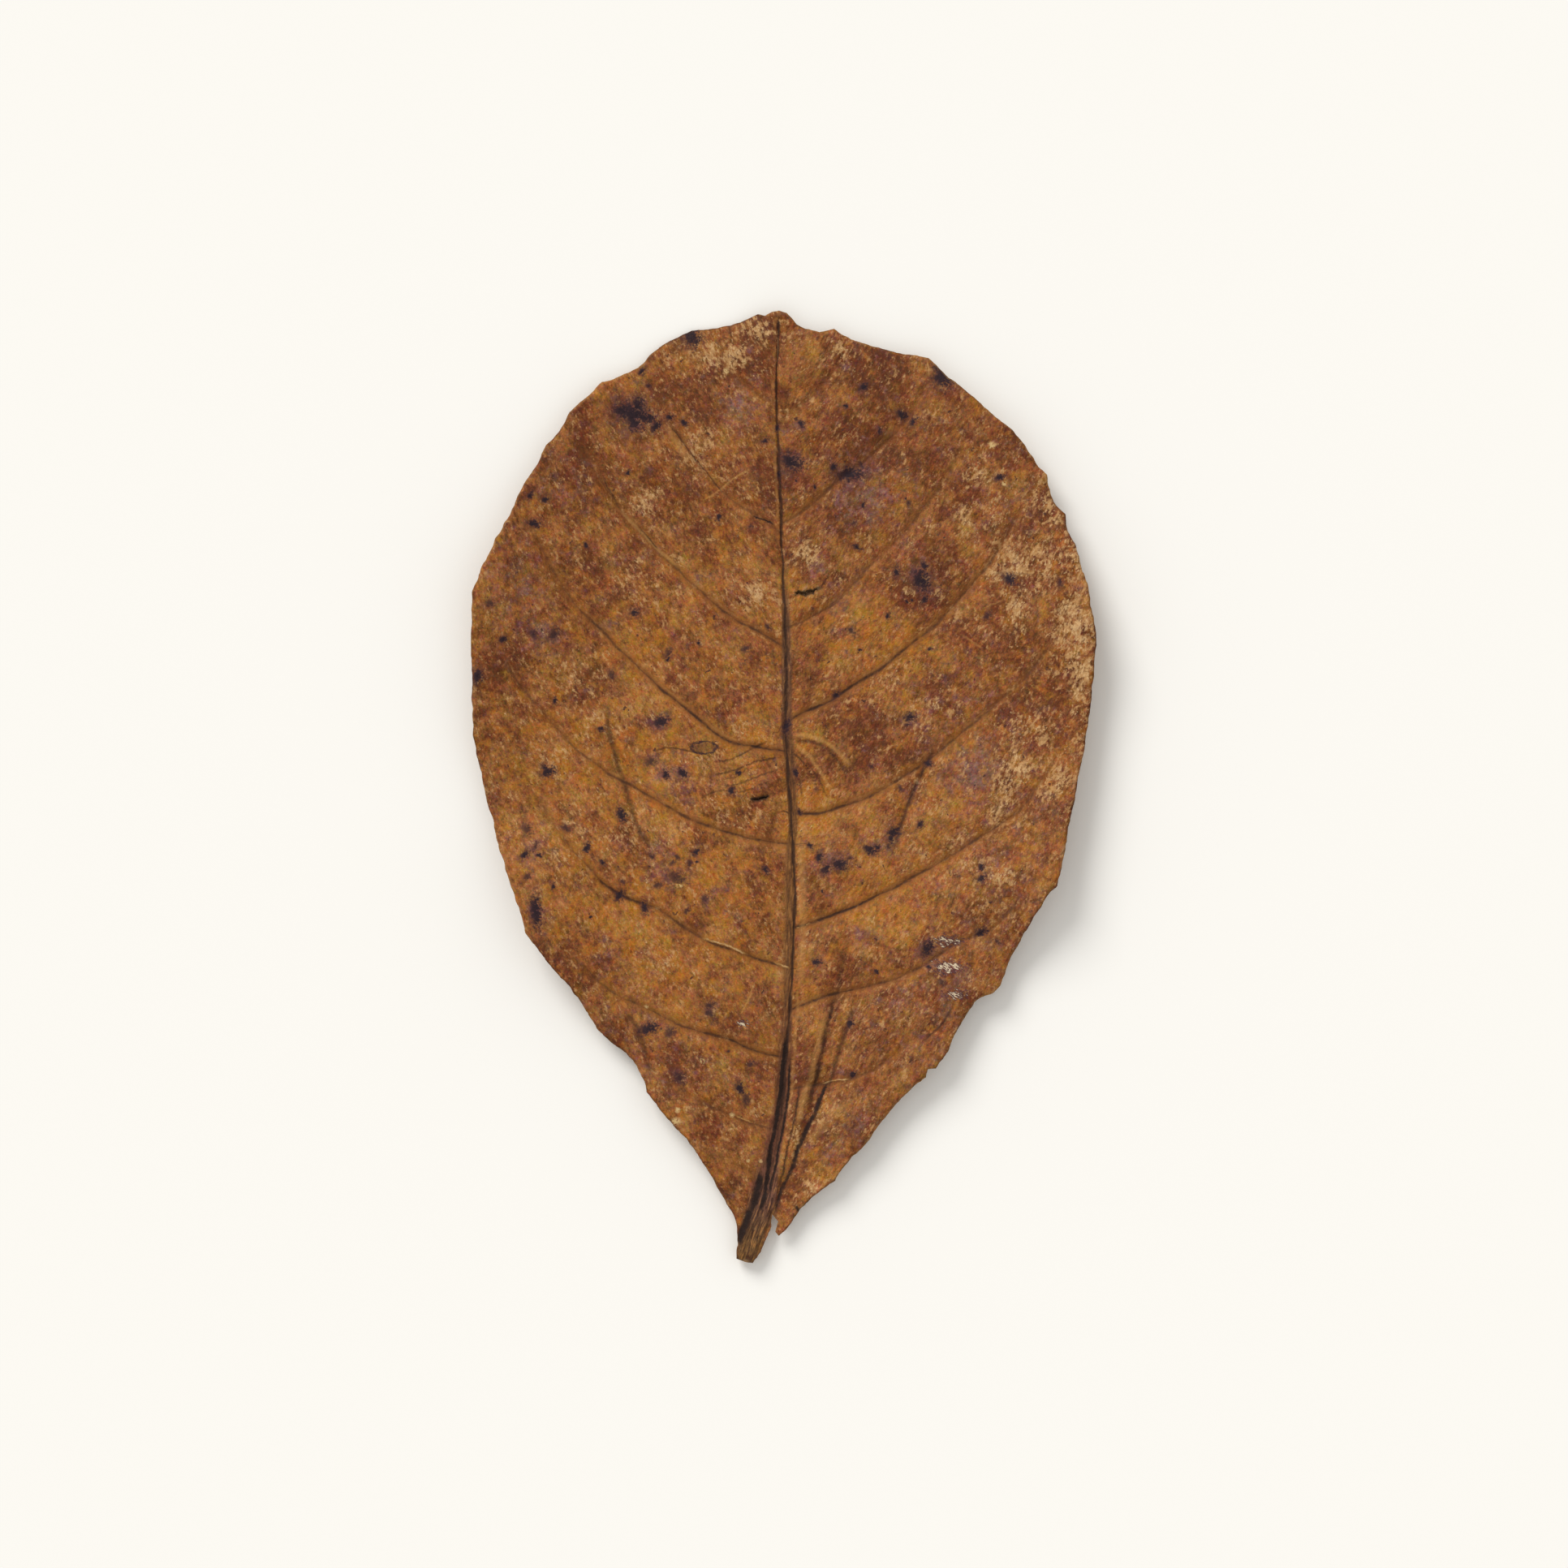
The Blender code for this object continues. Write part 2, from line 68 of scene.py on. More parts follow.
MM = 0.001
BLADE = "dried_leaf_blade"
SAME_PLACE = 0.002 * MM  # corners of the solid's loose triangles that are nearer are joined
WALL = 0.05  # a face that looks up or down by less than this is on the cut edge
STEEP = 0.35  # and one that does so by less than this isn't smoothed
# Depths, heights and half widths of the blade's relief, in millimetres.
VEIN_HALF, VEIN_BELOW = 0.55, 0.25
TROUGH_DEPTH, RIB_LINE_DEPTH, RIB_LINE_HALF = 0.16, 0.2, 0.45
STALK_HEIGHT, STALK_HALF = 0.75, 2.3
FOLD_DEPTH, FOLD_ROUND = 0.3, 0.3
RAGGED_REACH, RAGGED_SIZE = 1.1, 2.6
# How far a tear's lower and upper rims have closed: 1 is shut.
LOWER_SHUT, UPPER_SHUT = 0.92, 0.12
SENSOR = 36.0  # width of the camera's sensor in millimetres
SOFT = {"interpolation_type": "SMOOTHSTEP"}

# The line of the midrib and of the side veins, from the stalk outwards, in millimetres. The
# number with each side vein is how dark it has dried, and it also sets how strong the vein's
# painted shade and painted highlight are and how deep its groove is: 1 is the darkest.
MIDRIB = [
    (-8.1, -98.8), (-6.6, -94.0), (-4.3, -88.1), (-2.3, -79.7), (-0.6, -69.5), (0.3, -59.3),
    (1.8, -39.0), (2.3, -24.0), (1.8, -10.2), (0.8, 5.1), (0.4, 12.7), (0.6, 24.0),
    (0.0, 42.0), (-0.9, 64.4), (-1.4, 79.0), (-1.1, 97.4),
]
SIDE_VEINS = [
    (0.35, [(-1.4, 80.6), (-4.5, 81.8), (-8.5, 84.4), (-12.5, 88.2), (-15.2, 92.6)]),
    (0.4, [(-0.5, 53.2), (-4.5, 56.3), (-13.5, 62.5), (-20.4, 71.4), (-25.5, 79.0),
            (-28.1, 84.6)]),
    (0.8, [(0.5, 29.3), (-6.9, 33.6), (-11.7, 36.3), (-24.0, 47.3), (-34.5, 58.7),
           (-40.3, 67.8), (-43.6, 74.0)]),
    (1.0, [(0.5, 7.6), (-6.9, 8.5), (-11.2, 9.7), (-16.4, 13.2), (-28.3, 23.2),
           (-41.1, 35.6), (-46.4, 42.0), (-50.9, 50.8), (-53.6, 58.0)]),
    (0.85, [(1.7, -11.7), (-4.5, -11.3), (-17.4, -7.6), (-27.8, -2.0), (-36.4, 2.8),
            (-44.0, 8.6), (-50.7, 16.0), (-55.9, 22.3), (-60.4, 31.0)]),
    (0.8, [(1.8, -38.1), (-9.3, -34.7), (-18.3, -31.0), (-25.9, -25.8), (-33.5, -22.9),
           (-38.8, -19.1), (-45.8, -11.0), (-53.8, 1.0)]),
    (0.95, [(0.5, -56.6), (-4.6, -55.8), (-10.8, -53.2), (-20.3, -50.1), (-33.8, -43.9),
            (-41.0, -38.5), (-46.0, -33.0)]),
    (0.5, [(-0.9, -71.8), (-8.0, -70.1), (-17.5, -65.9), (-22.6, -63.8), (-25.6, -60.8)]),
    (0.45, [(-2.8, -82.0), (-8.0, -79.9), (-11.9, -78.2), (-16.4, -76.0)]),
    (0.2, [(-1.3, 76.0), (3.0, 79.5), (8.5, 84.5), (12.5, 90.5)]),
    (0.5, [(-0.5, 55.1), (5.5, 58.8), (11.2, 64.0), (17.4, 68.6), (25.3, 76.3), (29.4, 83.0)]),
    (0.5, [(0.3, 33.1), (6.0, 35.9), (10.7, 38.5), (17.9, 46.3), (25.3, 53.4), (33.8, 64.4),
           (38.0, 72.0)]),
    (1.0, [(0.4, 13.1), (3.3, 15.2), (11.2, 19.0), (22.1, 26.3), (34.0, 36.4), (43.4, 47.4),
           (50.8, 59.3)]),
    (0.85, [(1.4, -5.4), (7.0, -5.4), (16.9, -2.3), (27.8, 3.9), (37.7, 11.7), (50.6, 23.1),
            (59.0, 34.0)]),
    (1.0, [(2.3, -29.5), (12.2, -26.1), (26.2, -19.4), (40.8, -10.6), (48.6, -5.4),
           (53.6, 1.0), (58.4, 8.6)]),
    (0.9, [(1.6, -46.6), (7.5, -44.1), (20.0, -41.2), (28.8, -37.6), (36.6, -32.4),
           (43.4, -29.8), (50.4, -22.4)]),
    (0.6, [(0.1, -63.4), (7.7, -62.1), (16.4, -60.3), (23.0, -56.2), (30.0, -50.5)]),
    (0.15, [(-3.2, -84.0), (1.5, -83.6), (6.5, -81.0), (10.5, -77.4)]),
]
# Creases and scratches: how dark (or pale, below zero), half width in millimetres, and the line.
# The dark ones are painted shade in folds and wrinkles, and dark dried lines on the midrib and
# stalk; the pale ones are painted highlights on fold ridges and beside veins, and pale scratches.
CREASES = [
    (1.0, 0.72, [(9.7, -60.0), (8.2, -64.2), (6.0, -69.4), (4.5, -72.7), (3.1, -75.8),
                  (1.6, -80.0), (-0.2, -83.8), (-1.5, -87.6), (-2.3, -91.0)]),
    (0.65, 0.8, [(11.4, -42.4), (10.0, -47.0), (8.6, -51.9), (7.4, -58.4), (5.9, -64.2),
                 (5.1, -68.3)]),
    (0.6, 0.7, [(15.0, -44.9), (13.0, -51.3), (11.2, -56.6), (9.7, -61.9), (8.6, -64.8)]),
    (-0.5, 0.9, [(9.2, -46.1), (8.2, -50.5), (7.1, -54.8), (5.7, -60.7), (4.1, -65.4),
                  (2.4, -72.4)]),
    (-0.4, 1.1, [(3.3, -9.0), (3.9, -18.0), (4.0, -27.0), (3.7, -36.0), (3.3, -44.0)]),
    (-0.3, 0.5, [(3.1, -40.0), (2.8, -48.0), (2.3, -56.0), (1.5, -64.0), (0.5, -71.0)]),
    (-0.4, 1.1, [(5.0, -75.0), (7.6, -71.6), (10.6, -68.3), (14.2, -65.2)]),
    (1.2, 0.7, [(0.8, -50.3), (-0.1, -58.2), (-0.9, -65.0), (-2.1, -72.9), (-3.0, -78.5),
                (-3.6, -83.0), (-4.6, -87.6), (-5.9, -92.0)]),
    (1.0, 0.42, [(1.4, -55.9), (0.8, -65.0), (-0.4, -72.9), (-1.5, -78.5), (-2.6, -83.1),
                 (-3.2, -87.5)]),
    (1.1, 1.2, [(-4.7, -80.0), (-5.4, -83.6), (-6.4, -87.0), (-7.7, -90.6), (-8.9, -94.0),
                (-9.7, -97.0)]),
    (0.7, 0.4, [(3.6, -61.5), (2.2, -70.0), (0.8, -76.3), (-0.4, -81.4), (-1.6, -86.0)]),
    (0.3, 0.9, [(10.6, -49.5), (12.2, -37.0), (13.6, -28.8)]),
    (0.6, 0.8, [(-36.9, 17.6), (-36.7, 12.4), (-35.4, 6.6), (-33.5, 0.9), (-31.1, -7.1),
                 (-28.7, -11.5), (-27.4, -14.7)]),
    (0.65, 0.75, [(31.4, 9.6), (31.0, 6.8), (29.0, 3.2), (26.2, -3.4), (24.7, -7.5),
                  (23.6, -11.0), (23.1, -14.7)]),
    (-0.6, 0.65, [(1.6, 10.8), (5.2, 10.6), (8.7, 9.5), (11.6, 7.2), (14.6, 3.8)]),
    (-0.9, 0.25, [(0.9, 10.8), (3.3, 10.7), (5.6, 10.2)]),
    (0.55, 0.55, [(2.2, 9.6), (6.4, 9.4), (9.6, 7.4), (12.0, 4.6), (13.6, 1.6)]),
    (-0.55, 0.5, [(2.1, 9.4), (4.5, 7.3), (6.7, 4.8), (9.1, 1.2), (10.6, -1.3)]),
    (0.45, 0.4, [(4.6, 5.6), (6.8, 2.6), (8.8, -0.8), (9.6, -2.6)]),
    (0.6, 0.4, [(1.8, 7.6), (4.4, 5.0), (6.6, 1.2), (7.4, -1.6)]),
    (0.5, 0.35, [(1.6, 4.6), (3.2, 1.4), (4.0, -2.4)]),
    (0.6, 0.3, [(-0.6, 6.2), (-6.0, 5.4), (-11.0, 3.4), (-16.0, 2.4)]),
    (0.55, 0.28, [(-1.0, 3.6), (-5.0, 2.6), (-9.5, 0.6), (-13.0, 0.4)]),
    (0.6, 0.3, [(-2.0, 10.4), (-8.0, 7.2), (-13.3, 5.4), (-17.4, 7.2), (-24.3, 8.1),
                (-29.5, 6.9)]),
    (0.5, 0.28, [(-5.2, 0.2), (-9.6, -1.2), (-13.4, -0.6), (-18.0, -2.4)]),
    (0.45, 0.25, [(-2.4, 1.4), (-6.6, -0.4), (-9.8, -3.4)]),
    (0.5, 0.25, [(-7.6, 4.4), (-9.4, 2.4), (-12.6, 1.8)]),
    (0.4, 0.25, [(-12.4, 3.8), (-14.6, 5.8), (-15.4, 8.4)]),
    (0.65, 0.5, [(-39.6, -18.6), (-36.4, -21.3), (-33.5, -22.9), (-30.0, -24.4),
                (-26.6, -25.6)]),
    (0.55, 0.8, [(-33.6, -46.6), (-31.0, -50.1), (-29.3, -54.1), (-28.2, -58.0),
                (-27.1, -60.8)]),
    (0.65, 0.45, [(35.2, -45.4), (34.0, -48.1), (31.1, -51.4), (28.7, -53.7)]),
    (-1.0, 0.2, [(8.0, -62.0), (10.6, -61.4), (14.0, -61.0)]),
    (-0.8, 0.2, [(-10.0, -68.9), (-8.4, -69.5), (-6.4, -70.4)]),
    (-1.0, 0.3, [(-17.4, -31.4), (-11.9, -33.2), (-7.4, -35.3)]),
    (-1.0, 0.28, [(-2.2, -36.6), (-0.4, -37.3), (1.2, -38.1)]),
    (-0.8, 0.28, [(2.7, -29.6), (5.5, -28.5)]),
    (-0.7, 0.2, [(-6.4, -41.2), (-7.0, -44.1), (-8.1, -46.1), (-9.1, -47.8)]),
    (-0.6, 0.25, [(-17.4, 60.0), (-13.6, 62.0), (-10.3, 64.7), (-8.1, 66.1), (-6.4, 67.1)]),
    (-0.5, 0.9, [(-24.6, 76.4), (-22.0, 71.6), (-19.2, 68.4)]),
    (-0.55, 0.45, [(-34.6, 58.6), (-29.6, 53.2), (-24.0, 47.8), (-21.4, 45.0)]),
    (-0.4, 0.3, [(37.1, 32.0), (41.7, 28.9)]),
    (-0.4, 0.25, [(41.7, 37.3), (45.7, 39.0)]),
    (0.3, 0.25, [(43.0, 44.6), (48.5, 44.8), (54.5, 44.2)]),
    (0.45, 0.25, [(-45.0, 47.5), (-43.0, 50.5), (-41.3, 51.7)]),
    (-0.6, 0.3, [(2.4, 41.0), (4.8, 41.0), (6.4, 41.6)]),
    (0.6, 0.3, [(7.2, 41.4), (9.0, 43.4), (9.8, 44.6)]),
    (0.85, 0.3, [(-6.6, 57.0), (-3.6, 56.0), (-1.8, 54.8)]),
    (0.6, 0.22, [(-24.6, 77.0), (-21.0, 72.0), (-17.0, 67.2), (-13.4, 62.4), (-11.8, 60.4)]),
    (0.6, 0.25, [(-37.8, 65.0), (-36.4, 62.0), (-34.6, 59.0)]),
    (0.65, 0.25, [(-30.4, 54.6), (-28.4, 52.4), (-26.0, 49.8)]),
    (0.9, 0.5, [(2.2, -87.0), (3.2, -88.6), (4.4, -87.6), (6.0, -86.0)]),
    (-0.8, 0.25, [(30.0, 89.6), (30.4, 87.6), (30.5, 85.6)]),
    (0.4, 0.25, [(-24.8, -65.6), (-21.5, -65.3), (-19.2, -66.4), (-16.0, -66.6)]),
    (0.35, 0.3, [(-15.6, -83.0), (-12.6, -84.6), (-10.6, -86.8)]),
]
# Spots: x, y and radius in millimetres, and the upright radius too where a spot is long. The
# dark ones are where fungus has dried in the blade.
DARK_SPOTS = [
    (-30.4, 79.8, 1.6), (-26.7, 75.6, 1.0), (-24.0, 77.5, 0.7), (-20.9, 76.4, 0.7),
    (-19.4, 94.7, 2.1), (-29.7, 87.1, 0.7), (-3.8, 72.5, 0.7), (1.6, 68.1, 2.0), (3.6, 76.1, 0.7),
    (-53.0, 61.0, 0.7), (-49.9, 60.2, 0.7), (-52.3, 55.1, 1.0), (-41.4, 50.7, 0.5),
    (-32.6, 65.9, 0.5), (-58.6, 31.0, 0.7), (-31.4, 36.6, 0.8), (-17.9, 30.3, 0.5),
    (-13.6, 56.6, 0.5), (16.7, 83.7, 0.8), (13.0, 79.8, 0.5), (24.7, 78.0, 1.0),
    (20.1, 74.6, 0.5), (10.4, 67.1, 0.8), (13.8, 65.6, 2.2, 1.6), (2.6, 64.2, 0.3),
    (6.5, 62.9, 0.3), (16.7, 59.2, 0.5), (25.7, 60.5, 0.3), (15.3, 50.3, 0.7), (28.7, 43.4, 2.0),
    (23.6, 45.1, 0.8), (29.6, 39.5, 0.7), (27.0, 39.2, 0.3), (25.8, 39.0, 0.3), (21.8, 35.8, 0.5),
    (30.6, 29.0, 0.3), (16.0, 28.8, 0.3), (47.2, 43.6, 1.2), (-47.9, 18.1, 0.5),
    (-24.3, 26.8, 0.5), (-38.2, 12.2, 0.7), (-21.1, 2.9, 1.0), (-24.7, 2.5, 0.8),
    (-10.9, -0.8, 0.7), (-49.4, 3.2, 1.2), (-49.9, 4.1, 0.8), (-34.0, -5.8, 1.2),
    (-41.3, -12.7, 0.8), (-54.2, -14.1, 0.8), (-51.1, -14.2, 0.5), (-37.9, -15.8, 0.5),
    (-48.1, -20.7, 0.5), (-18.4, -13.6, 0.7), (-18.2, -15.6, 0.3), (-3.8, -17.3, 0.7),
    (-29.1, -25.3, 1.0), (-34.5, -22.7, 1.0), (-40.3, -27.1, 0.3), (-9.6, 3.1, 0.5),
    (2.6, 3.1, 0.7), (10.9, 19.3, 0.7), (26.5, 14.6, 1.0), (30.4, 4.9, 0.7), (3.3, -5.1, 0.5),
    (28.6, -7.8, 0.8), (23.1, -9.3, 1.2), (18.2, -13.1, 1.2), (19.7, -12.7, 0.7),
    (7.4, -14.7, 0.8), (8.9, -17.1, 1.0), (11.8, -16.1, 1.4), (5.5, -12.2, 0.5),
    (41.3, -16.6, 0.7), (41.3, -19.0, 0.8), (6.9, -36.6, 0.8), (19.4, -38.5, 0.5),
    (8.1, -21.7, 0.3), (30.1, -33.7, 1.4), (41.3, -30.3, 1.0), (30.4, -37.6, 0.5),
    (-51.7, -25.8, 1.3, 2.8), (0.6, 12.9, 0.9, 1.2), (-1.3, 75.2, 0.4, 0.9),
    (-1.0, 65.6, 0.35, 0.9), (-9.2, -62.9, 1.0), (14.0, -49.5, 0.8), (14.5, -60.0, 0.7),
    (-33.7, 78.9, 1.7), (-29.4, 77.6, 1.5), (-27.9, 77.4, 1.2, 1.0), (27.2, 76.6, 0.8),
    (45.2, 64.8, 0.8), (29.6, 46.3, 0.7), (22.5, -10.7, 0.8), (-28.2, -50.5, 2.0, 1.1),
    (33.6, 86.0, 2.0, 2.6), (-31.5, 78.3, 3.3, 2.6), (-31.6, 76.9, 1.9), (-64.0, 23.1, 1.2),
    (-25.7, 13.7, 1.3),
]
FAINT_SPOTS = [
    (-61.4, 38.5, 0.8), (-52.3, 32.0, 1.0), (-48.2, 32.0, 1.2), (-6.9, 54.6, 0.5),
    (-28.4, 84.1, 0.5), (16.4, 67.3, 0.7), (26.2, 59.5, 0.5), (14.8, 55.4, 0.5),
    (32.0, 87.8, 0.8, 1.2), (14.2, 32.9, 0.7), (57.7, 42.9, 0.7), (42.6, 35.8, 0.7),
    (-8.1, 29.0, 0.7), (-3.3, 33.6, 0.5), (-36.2, 23.6, 0.7), (-24.3, 28.0, 0.8),
    (-27.9, 5.4, 1.0), (-45.7, -8.5, 0.8), (-53.8, -8.8, 1.0), (-51.8, -12.4, 0.7),
    (-53.5, -18.6, 0.7), (-33.6, -19.8, 0.5), (-22.3, -14.7, 0.5), (-19.7, -15.9, 0.7),
    (-23.3, -15.8, 0.5), (-26.4, -20.5, 0.7), (-27.4, -14.6, 0.5), (-16.7, -23.4, 0.7),
    (-20.3, -25.8, 0.5), (26.0, 13.1, 0.5), (18.4, 4.4, 0.5), (24.5, -0.3, 0.5),
    (21.9, -12.4, 0.5), (13.8, -14.9, 0.5), (33.0, -40.7, 0.7), (44.7, -32.2, 0.5),
    (-23.6, -51.2, 1.2, 0.8), (-15.5, -45.6, 1.0), (-15.7, -47.3, 0.8), (-21.8, -60.7, 1.2),
    (-7.9, -65.3, 1.0), (-6.9, -58.0, 0.7), (-11.6, -55.3, 0.3), (-22.6, -18.9, 1.5, 1.2),
]
RINGS = [(-16.8, 8.3, 2.5, 1.2)]
PALE_SPOTS = [
    (43.5, 71.5, 0.9), (46.1, 63.5, 0.6), (-22.1, -67.5, 0.7), (-10.8, -68.6, 0.6),
    (-17.0, -57.3, 0.6), (-22.6, -69.8, 1.3, 0.9), (-12.1, 87.3, 0.7), (-8.2, 89.0, 0.5),
    (-7.4, -78.2, 0.4), (-4.8, -78.3, 0.45), (-21.8, -20.6, 0.8, 0.5),
    (44.8, -19.3, 0.5), (-28.6, -45.9, 0.45),
]
# Places where the skin is scuffed to white flecks.
SCUFFS = [
    (34.4, -32.2, 2.4, 0.9), (34.6, -37.6, 2.5, 1.2), (35.9, -43.4, 1.9, 0.8),
    (-8.5, -49.5, 1.2, 0.6),
]
# Tears right through the blade: middle, half length and half width in millimetres, and slope in
# degrees.
SPLITS = [(4.85, 40.9, 2.4, 0.5, 12.0), (-5.0, -2.4, 1.8, 0.25, 8.0)]
# The number that the finish knows each kind of spot by. A dark spot is fainter at 0.3 than at 0.
SPOT_KINDS = [
    (DARK_SPOTS, 0.0), (FAINT_SPOTS, 0.3), (RINGS, 1.0), (PALE_SPOTS, 2.0), (SCUFFS, 3.0),
]
# Soft stains: x, y and reach in millimetres, then the upright reach and the strength of those
# that are long or faint.
PURPLE_CLOUDS = [
    (-6.4, 84.9, 1.5), (-9.4, 79.7, 4.2), (2.3, 75.4, 1.9), (31.4, 76.9, 1.4),
    (-53.5, 41.0, 1.5), (-57.9, 36.8, 1.5), (-37.0, 34.4, 1.5), (7.0, 46.3, 2.4),
    (13.3, 88.1, 1.4), (-51.6, -25.8, 2.2), (-35.5, -33.4, 2.7), (37.7, -39.3, 2.4),
    (17.2, -31.4, 2.7), (-31.6, 78.5, 4.4), (13.8, 65.6, 3.1), (28.7, 43.7, 3.4),
    (-25.7, 13.9, 2.7), (9.5, -15.4, 6.0, 2.6, 1.0), (20.0, -12.0, 4.4, 2.2, 0.9),
    (39.7, 4.2, 7.6), (16.9, 61.0, 6.8),
    (-51.6, -13.6, 3.7), (-25.5, -15.3, 5.1), (-49.7, 31.7, 4.1), (-23.0, 2.5, 5.1),
    (30.1, -35.6, 3.1), (26.2, 14.4, 2.4), (1.6, 68.1, 2.7), (45.0, -16.0, 14.0, 20.0, 0.4),
    (38.0, 12.0, 13.0, 16.0, 0.4), (26.0, 56.0, 14.0, 12.0, 0.15), (46.0, 60.0, 10.0, 14.0, 0.2),
    (-56.0, 40.0, 8.0, 14.0, 0.4), (28.0, -46.0, 12.0, 12.0, 0.4), (12.0, -72.0, 7.0, 8.0, 0.5),
    (12.5, 39.5, 4.0, 5.0, 0.8), (-46.0, 64.0, 8.0, 8.0, 0.4), (-30.0, -50.0, 9.0, 7.0, 0.35),
    (24.0, 76.0, 12.0, 7.0, 0.1), (-20.0, -58.0, 12.0, 8.0, 0.35), (-34.0, -38.0, 9.0, 9.0, 0.3),
    (-15.0, -22.0, 3.4, 3.0, 0.7), (-10.0, -28.0, 3.0, 2.6, 0.7), (-36.0, -34.0, 3.4, 3.0, 0.7),
    (-15.0, -46.4, 2.4, 2.4, 1.0), (-22.6, -19.2, 2.2, 2.0, 1.2),
]
TAN_PATCHES = [
    (-14.5, 90.5, 6.5, 4.0, 1.0), (-7.0, 95.5, 6.0, 3.0, 0.8), (12.3, 91.0, 3.4, 2.2, 0.8),
    (4.5, 49.5, 3.2, 3.2, 1.0),
    (-5.8, 40.2, 3.6, 2.6, 0.9), (-18.6, 70.0, 4.0, 5.0, 0.7), (-29.4, 59.4, 5.2, 3.0, 0.7),
    (-9.2, 11.9, 3.1, 2.4, 0.5), (41.5, 65.6, 3.4, 3.4, 0.7), (48.0, 47.0, 4.4, 8.0, 0.85),
    (44.0, 57.0, 4.0, 4.0, 0.5), (54.0, 48.0, 4.6, 8.0, 0.7), (49.0, 36.0, 3.4, 4.2, 0.8),
    (60.0, 33.0, 5.0, 9.0, 1.0), (62.4, 22.0, 2.8, 8.0, 0.9), (61.0, 50.0, 3.6, 9.0, 0.8),
    (63.0, 8.0, 2.0, 8.0, 0.6), (46.4, -3.0, 4.0, 6.4, 0.9), (49.4, 3.4, 3.6, 5.4, 0.85),
    (57.0, 2.0, 4.8, 6.0, 0.8), (52.0, 12.0, 6.0, 4.0, 0.5), (-29.7, 42.4, 5.4, 3.2, 0.5),
    (-44.0, 23.7, 6.0, 4.0, 0.55), (-38.0, 15.3, 5.0, 4.0, 0.5), (38.1, 55.9, 3.4, 4.6, 0.5),
    (42.3, 44.8, 3.1, 3.1, 0.5), (-17.9, 5.1, 4.6, 2.4, 0.5), (44.2, -18.6, 4.2, 3.4, 0.7),
    (24.5, 1.7, 4.0, 2.4, 0.6), (22.0, 22.0, 3.0, 6.0, 0.5), (30.6, 16.0, 6.0, 2.6, 0.5),
    (8.2, -70.0, 4.4, 3.4, 0.6), (6.0, -84.0, 3.4, 3.0, 0.8), (2.6, -74.0, 1.0, 4.0, 0.9),
    (16.0, -49.0, 4.0, 3.0, 0.5), (-44.0, -12.0, 5.0, 8.0, 0.4), (-24.0, -36.0, 6.0, 3.0, 0.45),
    (36.0, -12.0, 5.0, 5.0, 0.4), (-48.0, 6.0, 5.0, 5.0, 0.45), (14.0, 28.0, 3.0, 3.0, 0.4),
    (55.5, 60.0, 3.0, 7.0, 0.9), (-30.0, -10.0, 9.0, 4.0, 0.4), (-8.0, -6.0, 7.0, 2.5, 0.5),
    (28.0, -13.0, 7.0, 4.0, 0.35), (44.0, -26.0, 7.0, 5.0, 0.35),
]
DARK_PATCHES = [
    (26.0, 70.0, 11.0), (30.0, 45.0, 9.0), (8.0, 79.0, 9.0), (-29.0, 79.0, 9.0),
    (-42.0, 70.0, 7.0), (12.0, 87.0, 7.0), (-58.0, 30.0, 5.0), (36.0, -38.0, 7.0),
    (20.0, -62.0, 8.0), (-52.0, 44.0, 7.0), (18.0, 8.0, 6.0), (0.0, 62.0, 9.0),
    (12.0, 64.0, 10.0), (2.0, -60.0, 6.0), (2.0, 74.0, 60.0, 28.0, 0.7),
]
AMBER_PATCHES = [
    (24.5, 28.8, 6.0), (3.5, 82.0, 5.0), (-6.0, 12.0, 5.0), (-30.0, 30.0, 8.0),
    (20.0, -24.0, 9.0), (6.0, -6.0, 7.0), (-20.0, -10.0, 8.0), (12.0, 30.0, 8.0),
    (-10.0, -30.0, 9.0), (2.0, 40.0, 6.0), (-12.0, 50.0, 7.0), (-34.0, -26.0, 14.0),
    (-22.0, -42.0, 12.0), (-46.0, 6.0, 10.0), (-16.0, -18.0, 12.0), (-30.0, 6.0, 12.0),
]
# The dried strip of the midrib: station, and how far it reaches to the left and to the right of
# the midrib's line, all in millimetres.
RIB_STRIP = [
    (-100.0, 2.2, 2.2), (-95.0, 2.4, 2.4), (-90.0, 2.6, 3.0), (-84.0, 3.4, 2.0),
    (-78.0, 2.8, 1.1), (-67.0, 1.8, 1.1), (-56.0, 1.7, 1.1), (-45.0, 1.5, 0.4),
    (-35.0, 2.1, 0.25), (-20.0, 2.0, 0.25), (-12.0, 1.3, 0.6), (-8.0, 0.6, 1.4),
    (5.0, 0.5, 1.6), (14.0, 0.9, 1.2), (26.0, 1.0, 1.1), (35.0, 0.6, 1.1), (45.0, 0.3, 0.9),
    (55.0, 0.2, 0.2), (97.0, 0.2, 0.2),
]


def linear(hex_colour):
    """An sRGB hex colour as the linear numbers that a shader takes."""
    parts = [int(hex_colour[start:start + 2], 16) / 255 for start in (1, 3, 5)]
    return [p / 12.92 if p <= 0.04045 else ((p + 0.055) / 1.055) ** 2.4 for p in parts] + [1.0]


def per(size):
    """A texture's scale that gives it features of a size in millimetres."""
    return 1000 / size


def ramp(low, high, values):
    """Rises smoothly from 0 to 1 between two values, or falls if they are the other way round."""
    t = np.clip((values - low) / (high - low), 0, 1)
    return t * t * (3 - 2 * t)


def smooth_line(points, step=1.3):
    """Points about a step apart on the smooth curve (Catmull-Rom) through the given points."""
    known = np.array(points, float)
    known = np.vstack([2 * known[0] - known[1], known, 2 * known[-1] - known[-2]])
    line = []
    for before, start, end, after in zip(known, known[1:], known[2:], known[3:]):
        pieces = max(1, round(np.linalg.norm(end - start) / step))
        for t in np.arange(pieces) / pieces:
            line.append(0.5 * (2 * start + (end - before) * t
                               + (2 * before - 5 * start + 4 * end - after) * t ** 2
                               + (3 * start - before - 3 * end + after) * t ** 3))
    return np.array(line + [known[-2]])


